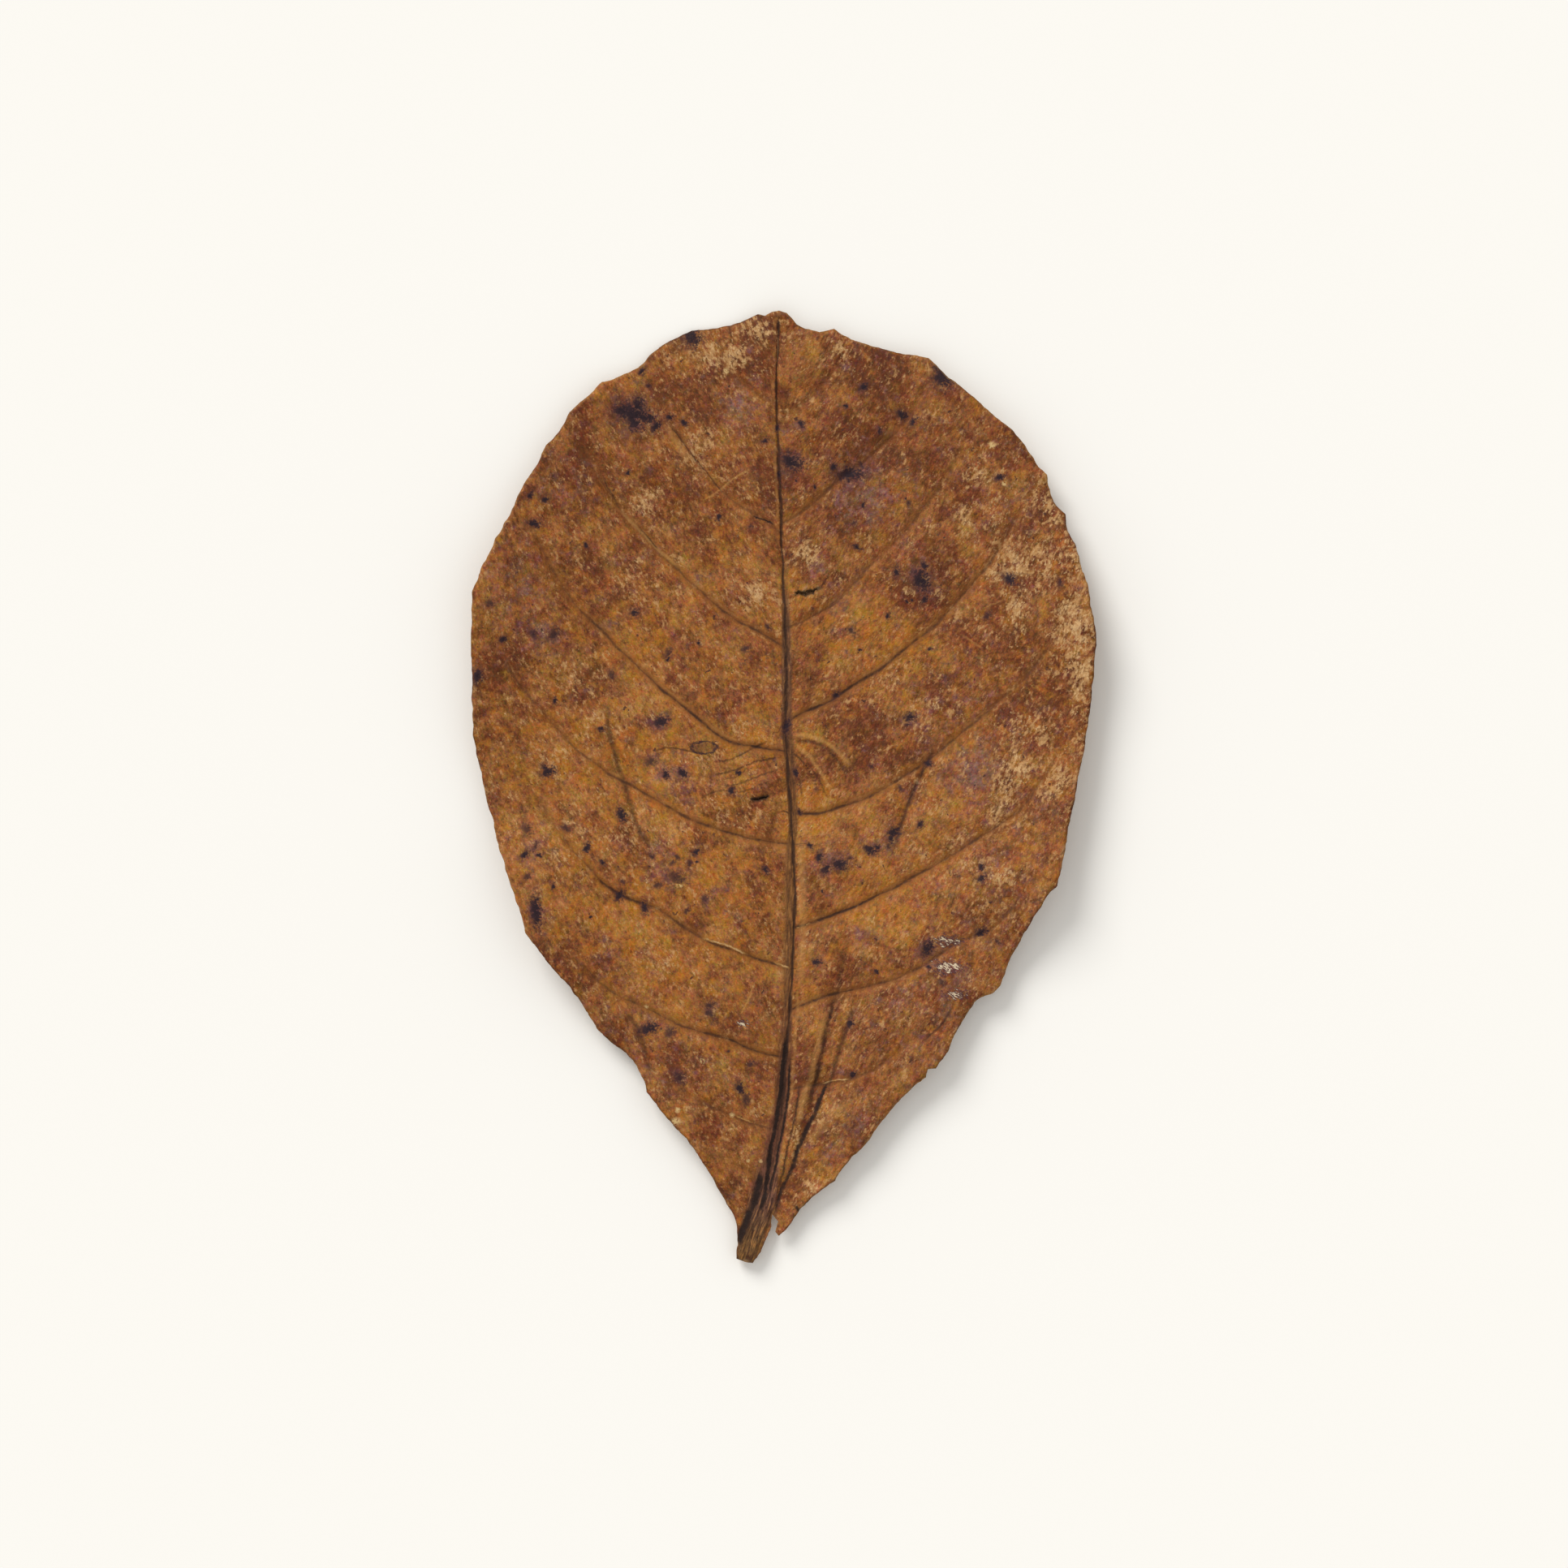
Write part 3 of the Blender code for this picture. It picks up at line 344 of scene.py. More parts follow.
def beside(line, points):
    """Signed distance from a line, positive on its left, and the length along it to there."""
    best = np.full(len(points), 1e9)
    side = np.ones(len(points))
    along = np.zeros(len(points))
    passed = 0.0
    for start, end in zip(line, line[1:]):
        run = end - start
        length = np.linalg.norm(run)
        rel = points - start
        share = np.clip(rel @ run / length ** 2, 0, 1)
        gap = np.linalg.norm(rel - share[:, None] * run, axis=1)
        nearer = gap < best
        turn = run[0] * rel[:, 1] - run[1] * rel[:, 0]
        best = np.where(nearer, gap, best)
        side = np.where(nearer, np.where(turn < 0, -1.0, 1.0), side)
        along = np.where(nearer, passed + share * length, along)
        passed += length
    return best * side, along, passed


def rib_half(across, along):
    """How wide the midrib's strip is, on the side of it that each point is on."""
    stations, left, right = np.array(RIB_STRIP).T
    return np.where(across > 0, np.interp(along, stations, left),
                    np.interp(along, stations, right))


def use_object(obj):
    """Makes an object the only one selected, and the active one."""
    bpy.ops.object.select_all(action="DESELECT")
    obj.select_set(True)
    bpy.context.view_layer.objects.active = obj


def places(mesh):
    """The mesh's points as rows of numbers."""
    flat = np.empty(len(mesh.vertices) * 3)
    mesh.vertices.foreach_get("co", flat)
    return flat.reshape(-1, 3)


def corner_points(mesh):
    """Which point is at each corner of each triangle."""
    corners = np.empty(len(mesh.loops), int)
    mesh.loops.foreach_get("vertex_index", corners)
    return corners.reshape(-1, 3)


def faces_up(mesh):
    """How far each face looks up: 1 straight up, 0 sideways, -1 down."""
    flat = np.empty(len(mesh.polygons) * 3)
    mesh.polygons.foreach_get("normal", flat)
    return flat.reshape(-1, 3)[:, 2]


def sides_of(mesh):
    """Which points are on the upper face, on the lower face and on the cut edge."""
    up = faces_up(mesh)
    corners = corner_points(mesh)
    sides = np.zeros((3, len(mesh.vertices)), bool)
    for row, chosen in enumerate((up > WALL, up < -WALL, np.abs(up) <= WALL)):
        sides[row, corners[chosen].ravel()] = True
    return sides


def edge_distance(points, edge):
    """Distance in millimetres from each point to the leaf's edge, seen from above."""
    tree = kdtree.KDTree(int(edge.sum()))
    for number in np.flatnonzero(edge):
        tree.insert((points[number, 0], points[number, 1], 0), int(number))
    tree.balance()
    return np.array([tree.find((x, y, 0))[2] for x, y in points[:, :2]])


def ripple(points, size, seed, octaves=3):
    """Smooth noise between about -1 and 1 with features of a size in millimetres."""
    shift = Vector((seed * 7.3, seed * 3.1, seed * 1.7))
    return np.array([noise.fractal(Vector((x / size, y / size, 0)) + shift, 1.0, 2.0, octaves)
                     for x, y in points[:, :2]])


def write_attribute(mesh, name, domain, values):
    """Stores a vector for each point or for each corner of the mesh."""
    attribute = mesh.attributes.new(name, "FLOAT_VECTOR", domain)
    attribute.data.foreach_set("vector", np.ascontiguousarray(values, np.float32).ravel())


class LeafBladeSizes(bpy.types.PropertyGroup):
    """Sizes of the fine blade."""

    thinning: bpy.props.FloatProperty(
        name="Thinning", description="How much thinner than the solid the shown blade is",
        default=0.27 * MM, min=0.0, max=0.4 * MM, unit="LENGTH", precision=5)
    cuts: bpy.props.IntProperty(
        name="Cuts", description="Cuts across each edge of the solid's triangles",
        default=3, min=1, max=3)
    smoothing: bpy.props.IntProperty(
        name="Smoothing", description="Rounds of smoothing that take the facets away",
        default=9, min=0, max=30)
    groove: bpy.props.FloatProperty(
        name="Vein groove", description="Extra depth of the side veins in the upper face",
        default=0.22 * MM, min=0.0, max=0.3 * MM, unit="LENGTH", precision=5)
    pucker: bpy.props.FloatProperty(
        name="Pucker", description="Height of the small puckers between the veins",
        default=0.3 * MM, min=0.0, max=1.0 * MM, unit="LENGTH", precision=5)
    ragged: bpy.props.FloatProperty(
        name="Ragged edge", description="How far the margin wanders in and out",
        default=0.28 * MM, min=0.0, max=0.8 * MM, unit="LENGTH", precision=5)


class LeafColours(bpy.types.PropertyGroup):
    """Colours of the dried leaf."""

    body: bpy.props.FloatVectorProperty(
        name="Body", description="Main brown of the dried blade",
        default=linear("#875129"), size=4, min=0.0, max=1.0, subtype="COLOR")
    rust: bpy.props.FloatVectorProperty(
        name="Rust", description="Darker red brown of the mottling",
        default=linear("#6b3819"), size=4, min=0.0, max=1.0, subtype="COLOR")
    amber: bpy.props.FloatVectorProperty(
        name="Amber", description="Warm yellow brown beside the veins",
        default=linear("#a9691f"), size=4, min=0.0, max=1.0, subtype="COLOR")
    tan: bpy.props.FloatVectorProperty(
        name="Tan", description="Pale flecks where the skin has lifted",
        default=linear("#bb8f5b"), size=4, min=0.0, max=1.0, subtype="COLOR")
    plum: bpy.props.FloatVectorProperty(
        name="Plum", description="Purple brown stain",
        default=linear("#6f453d"), size=4, min=0.0, max=1.0, subtype="COLOR")
    mould: bpy.props.FloatVectorProperty(
        name="Mould", description="Blue black of the dried fungus spots",
        default=linear("#301d22"), size=4, min=0.0, max=1.0, subtype="COLOR")
    underside: bpy.props.FloatVectorProperty(
        name="Underside", description="Dull tan of the lower face",
        default=linear("#9b7850"), size=4, min=0.0, max=1.0, subtype="COLOR")


class LeafStage(bpy.types.PropertyGroup):
    """The floor, the light and the camera."""

    floor: bpy.props.FloatVectorProperty(
        name="Floor", description="Colour of the pale floor",
        default=linear("#fbf8f1"), size=4, min=0.0, max=1.0, subtype="COLOR")
    view_width: bpy.props.FloatProperty(
        name="View width", description="Width that the camera takes in at the leaf",
        default=0.3275, min=0.1, unit="LENGTH")
    lens: bpy.props.FloatProperty(
        name="Lens", description="Focal length in millimetres, on a 36 mm wide sensor",
        default=150.0, min=20.0)
    sun: bpy.props.FloatProperty(
        name="Sun", description="Strength of the light from the upper left",
        default=1.95, min=0.0)
    sky: bpy.props.FloatProperty(
        name="Sky", description="Strength of the even light from all round",
        default=0.65, min=0.0)


class LEAF_OT_blade(bpy.types.Operator):
    """Makes the thin, smooth blade from the solid, with sunk veins and a ragged edge"""

    bl_idname = "leaf.blade"
    bl_label = "Blade"

    def execute(self, context):
        sizes = context.scene.leaf_blade
        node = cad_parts["leaf"]
        leaf = node.copy()
        leaf.data = node.data.copy()
        leaf.name = leaf.data.name = BLADE
        context.scene.collection.objects.link(leaf)
        use_object(leaf)
        bpy.ops.object.mode_set(mode="EDIT")
        bpy.ops.mesh.select_all(action="SELECT")
        bpy.ops.mesh.remove_doubles(threshold=SAME_PLACE)
        bpy.ops.mesh.normals_make_consistent(inside=False)
        bpy.ops.object.mode_set(mode="OBJECT")
        self.thin(leaf.data, sizes.thinning)
        bpy.ops.object.mode_set(mode="EDIT")
        bpy.ops.mesh.select_all(action="SELECT")
        bpy.ops.mesh.subdivide(number_cuts=sizes.cuts)
        bpy.ops.mesh.select_all(action="DESELECT")
        bpy.ops.object.mode_set(mode="OBJECT")
        upper, lower, edge = sides_of(leaf.data)
        steep = np.zeros(len(edge), bool)
        steep[corner_points(leaf.data)[np.abs(faces_up(leaf.data)) < STEEP].ravel()] = True
        leaf.data.vertices.foreach_set("select", ~steep)
        bpy.ops.object.mode_set(mode="EDIT")
        bpy.ops.mesh.vertices_smooth(factor=0.5, repeat=sizes.smoothing, xaxis=False,
                                     yaxis=False, zaxis=True)
        bpy.ops.object.mode_set(mode="OBJECT")
        self.dry(leaf.data, sizes, upper & ~edge, lower & ~edge, edge)
        bpy.ops.object.shade_smooth_by_angle(angle=math.radians(55))
        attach(leaf, "root")
        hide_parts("leaf")
        return {"FINISHED"}

    def thin(self, mesh, thinning):
        """Lowers the upper face and leaves the lower one where it rests."""
        upper = sides_of(mesh)[0]
        points = places(mesh)
        points[upper, 2] -= thinning
        mesh.vertices.foreach_set("co", points.ravel())
        mesh.update()

    def dry(self, mesh, sizes, upper, lower, edge):
        """Sinks the veins, puckers the blade and makes its edge ragged."""
        points = places(mesh) / MM
        faces = upper | lower
        inwards = edge_distance(points, edge)
        fade = ramp(0.3, 5.0, inwards)
        to_veins = np.abs([beside(smooth_line(line), points[:, :2])[0] for _, line in SIDE_VEINS])
        to_vein = to_veins.min(axis=0)
        strength = np.array([strength for strength, _ in SIDE_VEINS])[to_veins.argmin(axis=0)]
        across_rib = beside(smooth_line(MIDRIB), points[:, :2])[0]
        sink = np.exp(-(to_vein / VEIN_HALF) ** 2) * fade * (0.2 + 0.8 * strength)
        lift = ripple(points, 9.0, 3) * 0.7 + ripple(points, 3.4, 5) * 0.3
        lift *= sizes.pucker / MM * ramp(0.4, 4.0, to_vein) * ramp(0.5, 3.5, np.abs(across_rib))
        points[faces, 2] += (lift * ramp(0.0, 6.0, inwards))[faces]
        points[upper, 2] -= (sizes.groove / MM * sink)[upper]
        points[lower, 2] -= (VEIN_BELOW * sink)[lower]
        # The midrib lies in a shallow trough with a narrow line in it, and the stalk's back is
        # round.
        strip = across_rib / rib_half(across_rib, points[:, 1])
        trough = TROUGH_DEPTH * ramp(1.3, 0.8, np.abs(strip)) * ramp(-80.0, -60.0, points[:, 1])
        line = RIB_LINE_DEPTH * np.exp(-(across_rib / RIB_LINE_HALF) ** 2)
        line *= ramp(-85.0, -70.0, points[:, 1])
        stalk = STALK_HEIGHT * np.sqrt(np.clip(1 - (across_rib / STALK_HALF) ** 2, 0, 1))
        stalk *= ramp(-78.0, -90.0, points[:, 1]) * ramp(0.0, 0.7, inwards)
        points[upper, 2] += (stalk - (trough + line) * fade)[upper]
        for tone, width, crease in CREASES:
            across, along, whole = beside(smooth_line(crease), points[:, :2])
            share = along / whole
            fold = tone * np.exp(-(across / (width + FOLD_ROUND)) ** 2)
            fold *= ramp(0.0, 0.2, share) * ramp(1.0, 0.8, share)
            points[faces, 2] -= (FOLD_DEPTH * fold * fade)[faces]
        wander = np.column_stack([ripple(points, RAGGED_SIZE, seed) for seed in (11, 17)])
        wander *= (sizes.ragged / MM * np.exp(-(inwards / RAGGED_REACH) ** 2))[:, None]
        points[:, :2] += wander
        self.tear(points, lower, edge)
        points[:, 2] = np.maximum(points[:, 2], 0.0)
        points[:, 2] -= points[:, 2].min()
        half_box = np.array(CAD_BOX[1][:2]) / MM
        points[:, :2] = np.clip(points[:, :2], -half_box, half_box)
        mesh.vertices.foreach_set("co", (points * MM).ravel())
        mesh.update()

    def tear(self, points, lower, edge):
        """Turns the oval splits into crooked tears that close in towards the lower face."""
        heights = points[:, 2].copy()
        for x, y, long_half, half, slope in SPLITS:
            turn = math.radians(slope)
            to_long = np.array([math.cos(turn), math.sin(turn)])
            to_side = np.array([-to_long[1], to_long[0]])
            rel = points[:, :2] - (x, y)
            along, across = rel @ to_long, rel @ to_side
            rim = edge & (np.hypot(along / long_half, across / half) < 1.6)
            middle = heights[rim].mean()
            inner = lower | (rim & (heights < middle))
            outside = np.maximum(np.hypot(along / (long_half + 0.4), across / (half + 0.4)) - 1, 0)
            near = np.exp(-(outside * 1.1) ** 2)
            squeeze = np.where(inner, LOWER_SHUT, UPPER_SHUT) * near
            crook = half * (0.9 * (along / long_half) ** 2 - 0.4 + 0.32 * np.sin(along * 3.1)
                            + 0.2 * np.sin(along * 7.3 + 1.0))
            shift = crook * np.exp(-(outside * 0.8) ** 2) - across * squeeze
            points[:, :2] += shift[:, None] * to_side


class LEAF_OT_markings(bpy.types.Operator):
    """Notes on the mesh where each vein, crease, spot and stain of the leaf is"""

    bl_idname = "leaf.markings"
    bl_label = "Markings"

    def execute(self, context):
        mesh = bpy.data.objects[BLADE].data
        points = places(mesh) / MM
        flat = points[:, :2]
        corners = corner_points(mesh)
        middles = flat[corners].mean(axis=1)
        _, lower, edge = sides_of(mesh)
        self.mark_lines(mesh, "vein", flat, corners, [
            (line, strength, None) for strength, line in SIDE_VEINS])
        self.mark_lines(mesh, "crease", flat, corners, [
            (line, tone, width) for tone, width, line in CREASES if tone > 0])
        self.mark_lines(mesh, "ridge_highlight_and_scratch", flat, corners, [
            (line, -tone, width) for tone, width, line in CREASES if tone < 0])
        spots = np.array([(*spot[:3], spot[-1], kind) for group, kind in SPOT_KINDS
                          for spot in group])
        lean = 2.4 * np.arange(len(spots))
        lean = np.column_stack([np.cos(lean), np.sin(lean)]) * (spots[:, 4:] < 1)
        offset = self.squeezed((middles[:, None] - spots[:, :2]) / spots[:, 2:4], lean)
        nearest = np.argmin(np.linalg.norm(offset, axis=2), axis=1)[:, None]
        offset = self.squeezed((flat[corners] - spots[nearest, :2]) / spots[nearest, 2:4],
                               lean[nearest])
        kind = np.broadcast_to(spots[nearest, 4:], (*corners.shape, 1))
        write_attribute(mesh, "spot", "CORNER", np.concatenate([offset, kind], axis=2))
        write_attribute(mesh, "stain", "POINT", np.column_stack([
            self.soft(flat, TAN_PATCHES), self.soft(flat, PURPLE_CLOUDS),
            self.soft(flat, AMBER_PATCHES) - self.soft(flat, DARK_PATCHES)]))
        across, _, _ = beside(smooth_line(MIDRIB), flat)
        share = np.clip(across / rib_half(across, flat[:, 1]), -4, 4)
        write_attribute(mesh, "rib", "POINT", np.column_stack([across, share, flat[:, 1]]))
        # Nearness to each tear's rim: the mask of the painted shade inside the tears, fuller on
        # the lower face.
        tear_wall_shade = np.zeros(len(flat))
        for x, y, long_half, _, _ in SPLITS:
            rim = edge & (np.linalg.norm(flat - (x, y), axis=1) < long_half + 1)
            share = np.where(lower, 1.0, 0.62) * (points[:, 2] > 0)
            tear_wall_shade = np.maximum(tear_wall_shade, share * np.exp(-(edge_distance(points, rim) / 0.3) ** 2))
        write_attribute(mesh, "body", "POINT", np.column_stack([
            edge_distance(points, edge), lower.astype(float), tear_wall_shade]))
        return {"FINISHED"}

    def mark_lines(self, mesh, name, flat, corners, lines):
        """Each triangle keeps its corners' distance from its nearest line, and how dark that is.

        The distance is in millimetres, above zero on a line's upper side. A crease's half width
        goes with it, and a vein's is 1.
        """
        across, wide, dark = [], [], []
        for line, strength, width in lines:
            gap, passed, whole = beside(smooth_line(line), flat)
            if line[-1][0] < line[0][0]:
                gap = -gap
            share = passed / whole
            if width is None:
                fade = strength * (1 - 0.75 * share ** 1.5) * ramp(1.0, 0.9, share)
            else:
                fade = strength * ramp(0.0, 0.12, share) * ramp(1.0, 0.85, share)
            across.append(gap)
            wide.append(np.full(len(gap), width or 1.0))
            dark.append(fade)
        across, wide, dark = np.array(across), np.array(wide), np.array(dark)
        middle = np.abs(across / wide)[:, corners].mean(axis=2)
        chosen = np.argmin(middle, axis=0)[:, None]
        values = np.stack([across[chosen, corners], wide[chosen, corners],
                           dark[chosen, corners]], axis=2)
        write_attribute(mesh, name, "CORNER", values)

    def squeezed(self, offset, lean):
        """Offsets from spots, changed so that each spot is a little long in its own direction."""
        along = (offset * lean).sum(axis=2, keepdims=True)
        return offset * 0.85 + lean * along * 0.45

    def soft(self, flat, patches):
        """How deep in soft round patches each point is: 1 at the middle of one."""
        total = np.zeros(len(flat))
        for x, y, reach, *more in patches:
            upright, strength = more or (reach, 1.0)
            away = ((flat - (x, y)) / (reach, upright)) ** 2
            total = np.maximum(total, strength * np.exp(-away.sum(axis=1)))
        return total


def add(tree, kind, inputs=(), stops=(), out=0, **settings):
    """Adds a node with its settings and links, and gives one of its outputs."""
    node = tree.nodes.new("ShaderNode" + kind)
    for name, value in settings.items():
        setattr(node, name, value)
    for number, (place, colour) in enumerate(stops):
        elements = node.color_ramp.elements
        stop = elements[number] if number < 2 else elements.new(place)
        stop.position = place
        stop.color = colour
    for name, value in inputs.items() if isinstance(inputs, dict) else enumerate(inputs):
        if isinstance(value, bpy.types.NodeSocket):
            tree.links.new(value, node.inputs[name])
        else:
            node.inputs[name].default_value = value
    return node.outputs[out]


class LEAF_OT_finish(bpy.types.Operator):
    """Gives the blade its dried brown skin, with its mottling, veins, spots and fine relief"""

    bl_idname = "leaf.finish"
    bl_label = "Finish"

    def execute(self, context):
        leaf = bpy.data.objects[BLADE]
        leaf.data.materials.clear()
        leaf.data.materials.append(self.dried_leaf_skin(context.scene.leaf_colours))
        return {"FINISHED"}

    def dried_leaf_skin(self, colours):
        """Air-dried leaf blade: dull brown skin, mottled and flecked where it has lifted."""
        material = bpy.data.materials.new("dried_leaf_skin")
        material.use_nodes = True
        tree = material.node_tree
        shader = tree.nodes["Principled BSDF"]
        where = add(tree, "TexCoord", out="Object")
        grain = self.grain_place(tree, where)
        inwards, is_lower, tear_wall_shade = self.parts(tree, "body")
        tan, plum, warm = self.parts(tree, "stain")
        colour, fine = self.ground(tree, where, grain, warm, colours)
        colour = self.stains(tree, where, plum, warm, colours, colour)
        colour = self.mixed_hues(tree, where, grain, fine, colour)
        colour, fleck = self.flecks(tree, where, grain, tan, colours, colour)
        colour = self.veins(tree, where, colour)
        colour, strands = self.rib(tree, where, colour)
        colour = self.creases(tree, where, colour)
        colour = self.spots(tree, where, colours, colour)
        colour = self.margin(tree, where, inwards, tear_wall_shade, colour)
        below = self.lower_face(tree, where, colours, colour)
        skin = self.coats(tree, colour, (is_lower, below))
        tree.links.new(skin, shader.inputs["Base Color"])
        rough = add(tree, "MapRange", [fleck, 0.3, 0.7, 0.62, 0.8])
        tree.links.new(rough, shader.inputs["Roughness"])
        shader.inputs["IOR"].default_value = 1.42
        shader.inputs["Specular IOR Level"].default_value = 0.25
        self.relief(tree, where, grain, shader, fleck, strands)
        return material

    def parts(self, tree, name):
        """The three numbers that the markings noted under a name."""
        marks = add(tree, "Attribute", attribute_name=name, out="Vector")
        return add(tree, "SeparateXYZ", [marks]).node.outputs

    def grain_place(self, tree, where):
        """Object coordinates folded at the midrib and turned along the grain of each half."""
        x, y, z = add(tree, "SeparateXYZ", [where]).node.outputs
        across = add(tree, "Math", [x], operation="ABSOLUTE")
        folded = add(tree, "CombineXYZ", [across, y, z])
        return add(tree, "Mapping", {"Vector": folded, "Rotation": (0, 0, math.radians(62)),
                                     "Scale": (1.35, 0.85, 1.0)}, vector_type="TEXTURE")

    def patches(self, tree, where, size, low, high, most=1.0, field=None, lean=0.0, detail=4.0):
        """Soft-edged patches of a size in millimetres, and more of them where a field is high."""
        cloud = add(tree, "TexNoise", {"Vector": where, "Scale": per(size), "Detail": detail,
                                       "Roughness": 0.65})
        if field is not None:
            cloud = add(tree, "Math", [field, lean, cloud], operation="MULTIPLY_ADD")
        return add(tree, "MapRange", [cloud, low, high, 0.0, most], **SOFT)

    def coats(self, tree, colour, *layers):
        """Lays colours over one another in turn, each where its mask is high."""
        for mask, tint in layers:
            tint = linear(tint) if isinstance(tint, str) else tint
            colour = add(tree, "Mix", {0: mask, 6: colour, 7: tint}, out=2, data_type="RGBA")
        return colour

    def ground(self, tree, where, grain, warm, colours):
        """Broad and middling clouds of rust and amber brown, with a fine grain."""
        broad = add(tree, "TexNoise", {"Vector": where, "Scale": per(11.5), "Detail": 3.0,
                                       "Distortion": 0.3})
        middling = add(tree, "TexNoise", {"Vector": where, "Scale": per(3.7), "Detail": 4.0,
                                          "Roughness": 0.6})
        fine = add(tree, "TexNoise", {"Vector": grain, "Scale": per(1.05), "Detail": 4.0,
                                      "Roughness": 0.8})
        tone = add(tree, "Mix", {0: 0.45, 2: broad, 3: middling}, data_type="FLOAT")
        tone = add(tree, "Mix", {0: 0.3, 2: tone, 3: fine}, data_type="FLOAT")
        tone = add(tree, "Math", [warm, 0.045, tone], operation="MULTIPLY_ADD")
        colour = add(tree, "ValToRGB", [tone], stops=[
            (0.38, linear("#5c2e16")), (0.64, linear("#ab7740")), (0.44, colours.rust),
            (0.5, colours.body), (0.56, linear("#9a622f"))])
        return colour, fine

    def stains(self, tree, where, plum, warm, colours, colour):
        """Rust, plum, mauve and amber stains that have soaked into the blade."""
        return self.coats(
            tree, colour,
            (self.patches(tree, where, 5.3, 0.53, 0.68, 0.4, warm, -0.05, 5.0), "#663319"),
            (self.patches(tree, where, 2.1, 0.54, 0.74, 0.8, plum, 0.2, 5.0), colours.plum),
            (self.patches(tree, where, 1.35, 0.56, 0.74, 0.6, plum, 0.14), "#8d6557"),
            (self.patches(tree, where, 2.7, 0.52, 0.7, 0.65, warm, 0.12), colours.amber))

    def mixed_hues(self, tree, where, grain, fine, colour):
        """Grain of mixed hues over the whole skin, from clouds of 3 mm down to specks."""
        coarse_hue = add(tree, "TexNoise", {"Vector": where, "Scale": per(3.1), "Detail": 3.0},
                         out="Color")
        fine_hue = add(tree, "TexNoise", {"Vector": grain, "Scale": per(0.95), "Detail": 4.0,
                                          "Roughness": 0.75}, out="Color")
        speckle = add(tree, "TexNoise", {"Vector": where, "Scale": per(0.34), "Detail": 2.0,
                                         "Roughness": 0.7}, out="Color")
        lift = (-0.75, -1.06, -2.37)
        for hue, amount in ((coarse_hue, (0.4, 0.7, 1.6)), (fine_hue, (0.7, 0.9, 2.1)),
                            (fine, (1.4, 1.4, 1.4)), (speckle, (1.0, 1.1, 1.4))):
            lift = add(tree, "VectorMath", [hue, amount, lift], operation="MULTIPLY_ADD")
        return add(tree, "VectorMath", [colour, lift], operation="MULTIPLY")

    def flecks(self, tree, where, grain, tan, colours, colour):
        """Dark flecks, and pale ones that crowd where the skin has lifted."""
        drift = add(tree, "TexNoise", {"Vector": where, "Scale": per(3.3), "Detail": 4.0,
                                       "Roughness": 0.65})
        crowd = add(tree, "Math", [tan, 0.36, drift], operation="MULTIPLY_ADD")
        colour = self.coats(
            tree, colour,
            (self.patches(tree, grain, 0.95, 0.77, 0.96, 0.8, crowd, 0.45), colours.tan),
            (self.patches(tree, grain, 0.6, 0.86, 1.0, 0.7, crowd, 0.45), "#d2ab79"),
            (self.patches(tree, grain, 1.25, 0.59, 0.72, 0.7), "#562b13"),
            (self.patches(tree, where, 1.7, 0.69, 0.74, 0.85, detail=2.0), "#40241f"))
        return colour, add(tree, "TexNoise", {"Vector": grain, "Scale": per(0.7), "Detail": 3.0,
                                              "Roughness": 0.65})

    def wavering(self, tree, where, across, slow, quick):
        """Distance from a line, made to waver slowly over 6 mm and quickly over 0.8 mm."""
        for size, detail, most in ((6.0, 1.0, slow), (0.8, 2.0, quick)):
            bend = add(tree, "TexNoise", {"Vector": where, "Scale": per(size),
                                          "Detail": detail})
            bend = add(tree, "MapRange", [bend, 0.0, 1.0, -most, most])
            across = add(tree, "Math", [across, bend])
        return across

    def veins(self, tree, where, colour):
        """Side veins dried to thin dark lines with a warm band beside.

        A soft band of painted shade lies round each line, and a painted highlight runs along its
        upper side.
        """
        across, _, strength = self.parts(tree, "vein")
        across = self.wavering(tree, where, across, 0.5, 0.14)
        gap = add(tree, "Math", [across], operation="ABSOLUTE")
        # The painted highlight runs 0.6 mm to the upper side of the vein's line.
        highlight_gap = add(tree, "Math", [across, -0.6])
        highlight_gap = add(tree, "Math", [highlight_gap], operation="ABSOLUTE")
        lit = self.patches(tree, where, 5.7, 0.42, 0.62, detail=1.0)
        thick = self.patches(tree, where, 4.3, 0.36, 0.66, detail=2.0)
        width = add(tree, "Math", [thick, 0.24, 0.14], operation="MULTIPLY_ADD")
        line = add(tree, "Math", [gap, width], operation="DIVIDE")
        worn = add(tree, "MapRange", [thick, 0.0, 0.8, 0.5, 1.0])
        faded = self.patches(tree, where, 1.6, 0.34, 0.5, detail=2.0)
        faded = add(tree, "MapRange", [faded, 0.0, 1.0, 0.6, 1.15])
        # The warm band and the thin line are the vein's own colour; the soft dark band round the
        # line is painted shade, and the pale band along its upper side is a painted highlight.
        # Each band's distance, where it is full, where it ends, its strength, what breaks it up
        # and its colour.
        for away, near, far, most, breaks, tint in (
                (gap, 0.3, 1.9, 0.55, [], "#94591f"), (highlight_gap, 0.05, 0.34, 0.35, [lit], "#b07f49"),
                (gap, 0.1, 1.0, 0.5, [], "#56331a"),
                (line, 0.2, 1.4, 0.95, [worn, faded], "#3f2516")):
            band = add(tree, "MapRange", [away, near, far, most, 0.0], **SOFT)
            for share in (*breaks, strength):
                band = add(tree, "Math", [band, share], operation="MULTIPLY")
            colour = self.coats(tree, colour, (band, tint))
        return colour

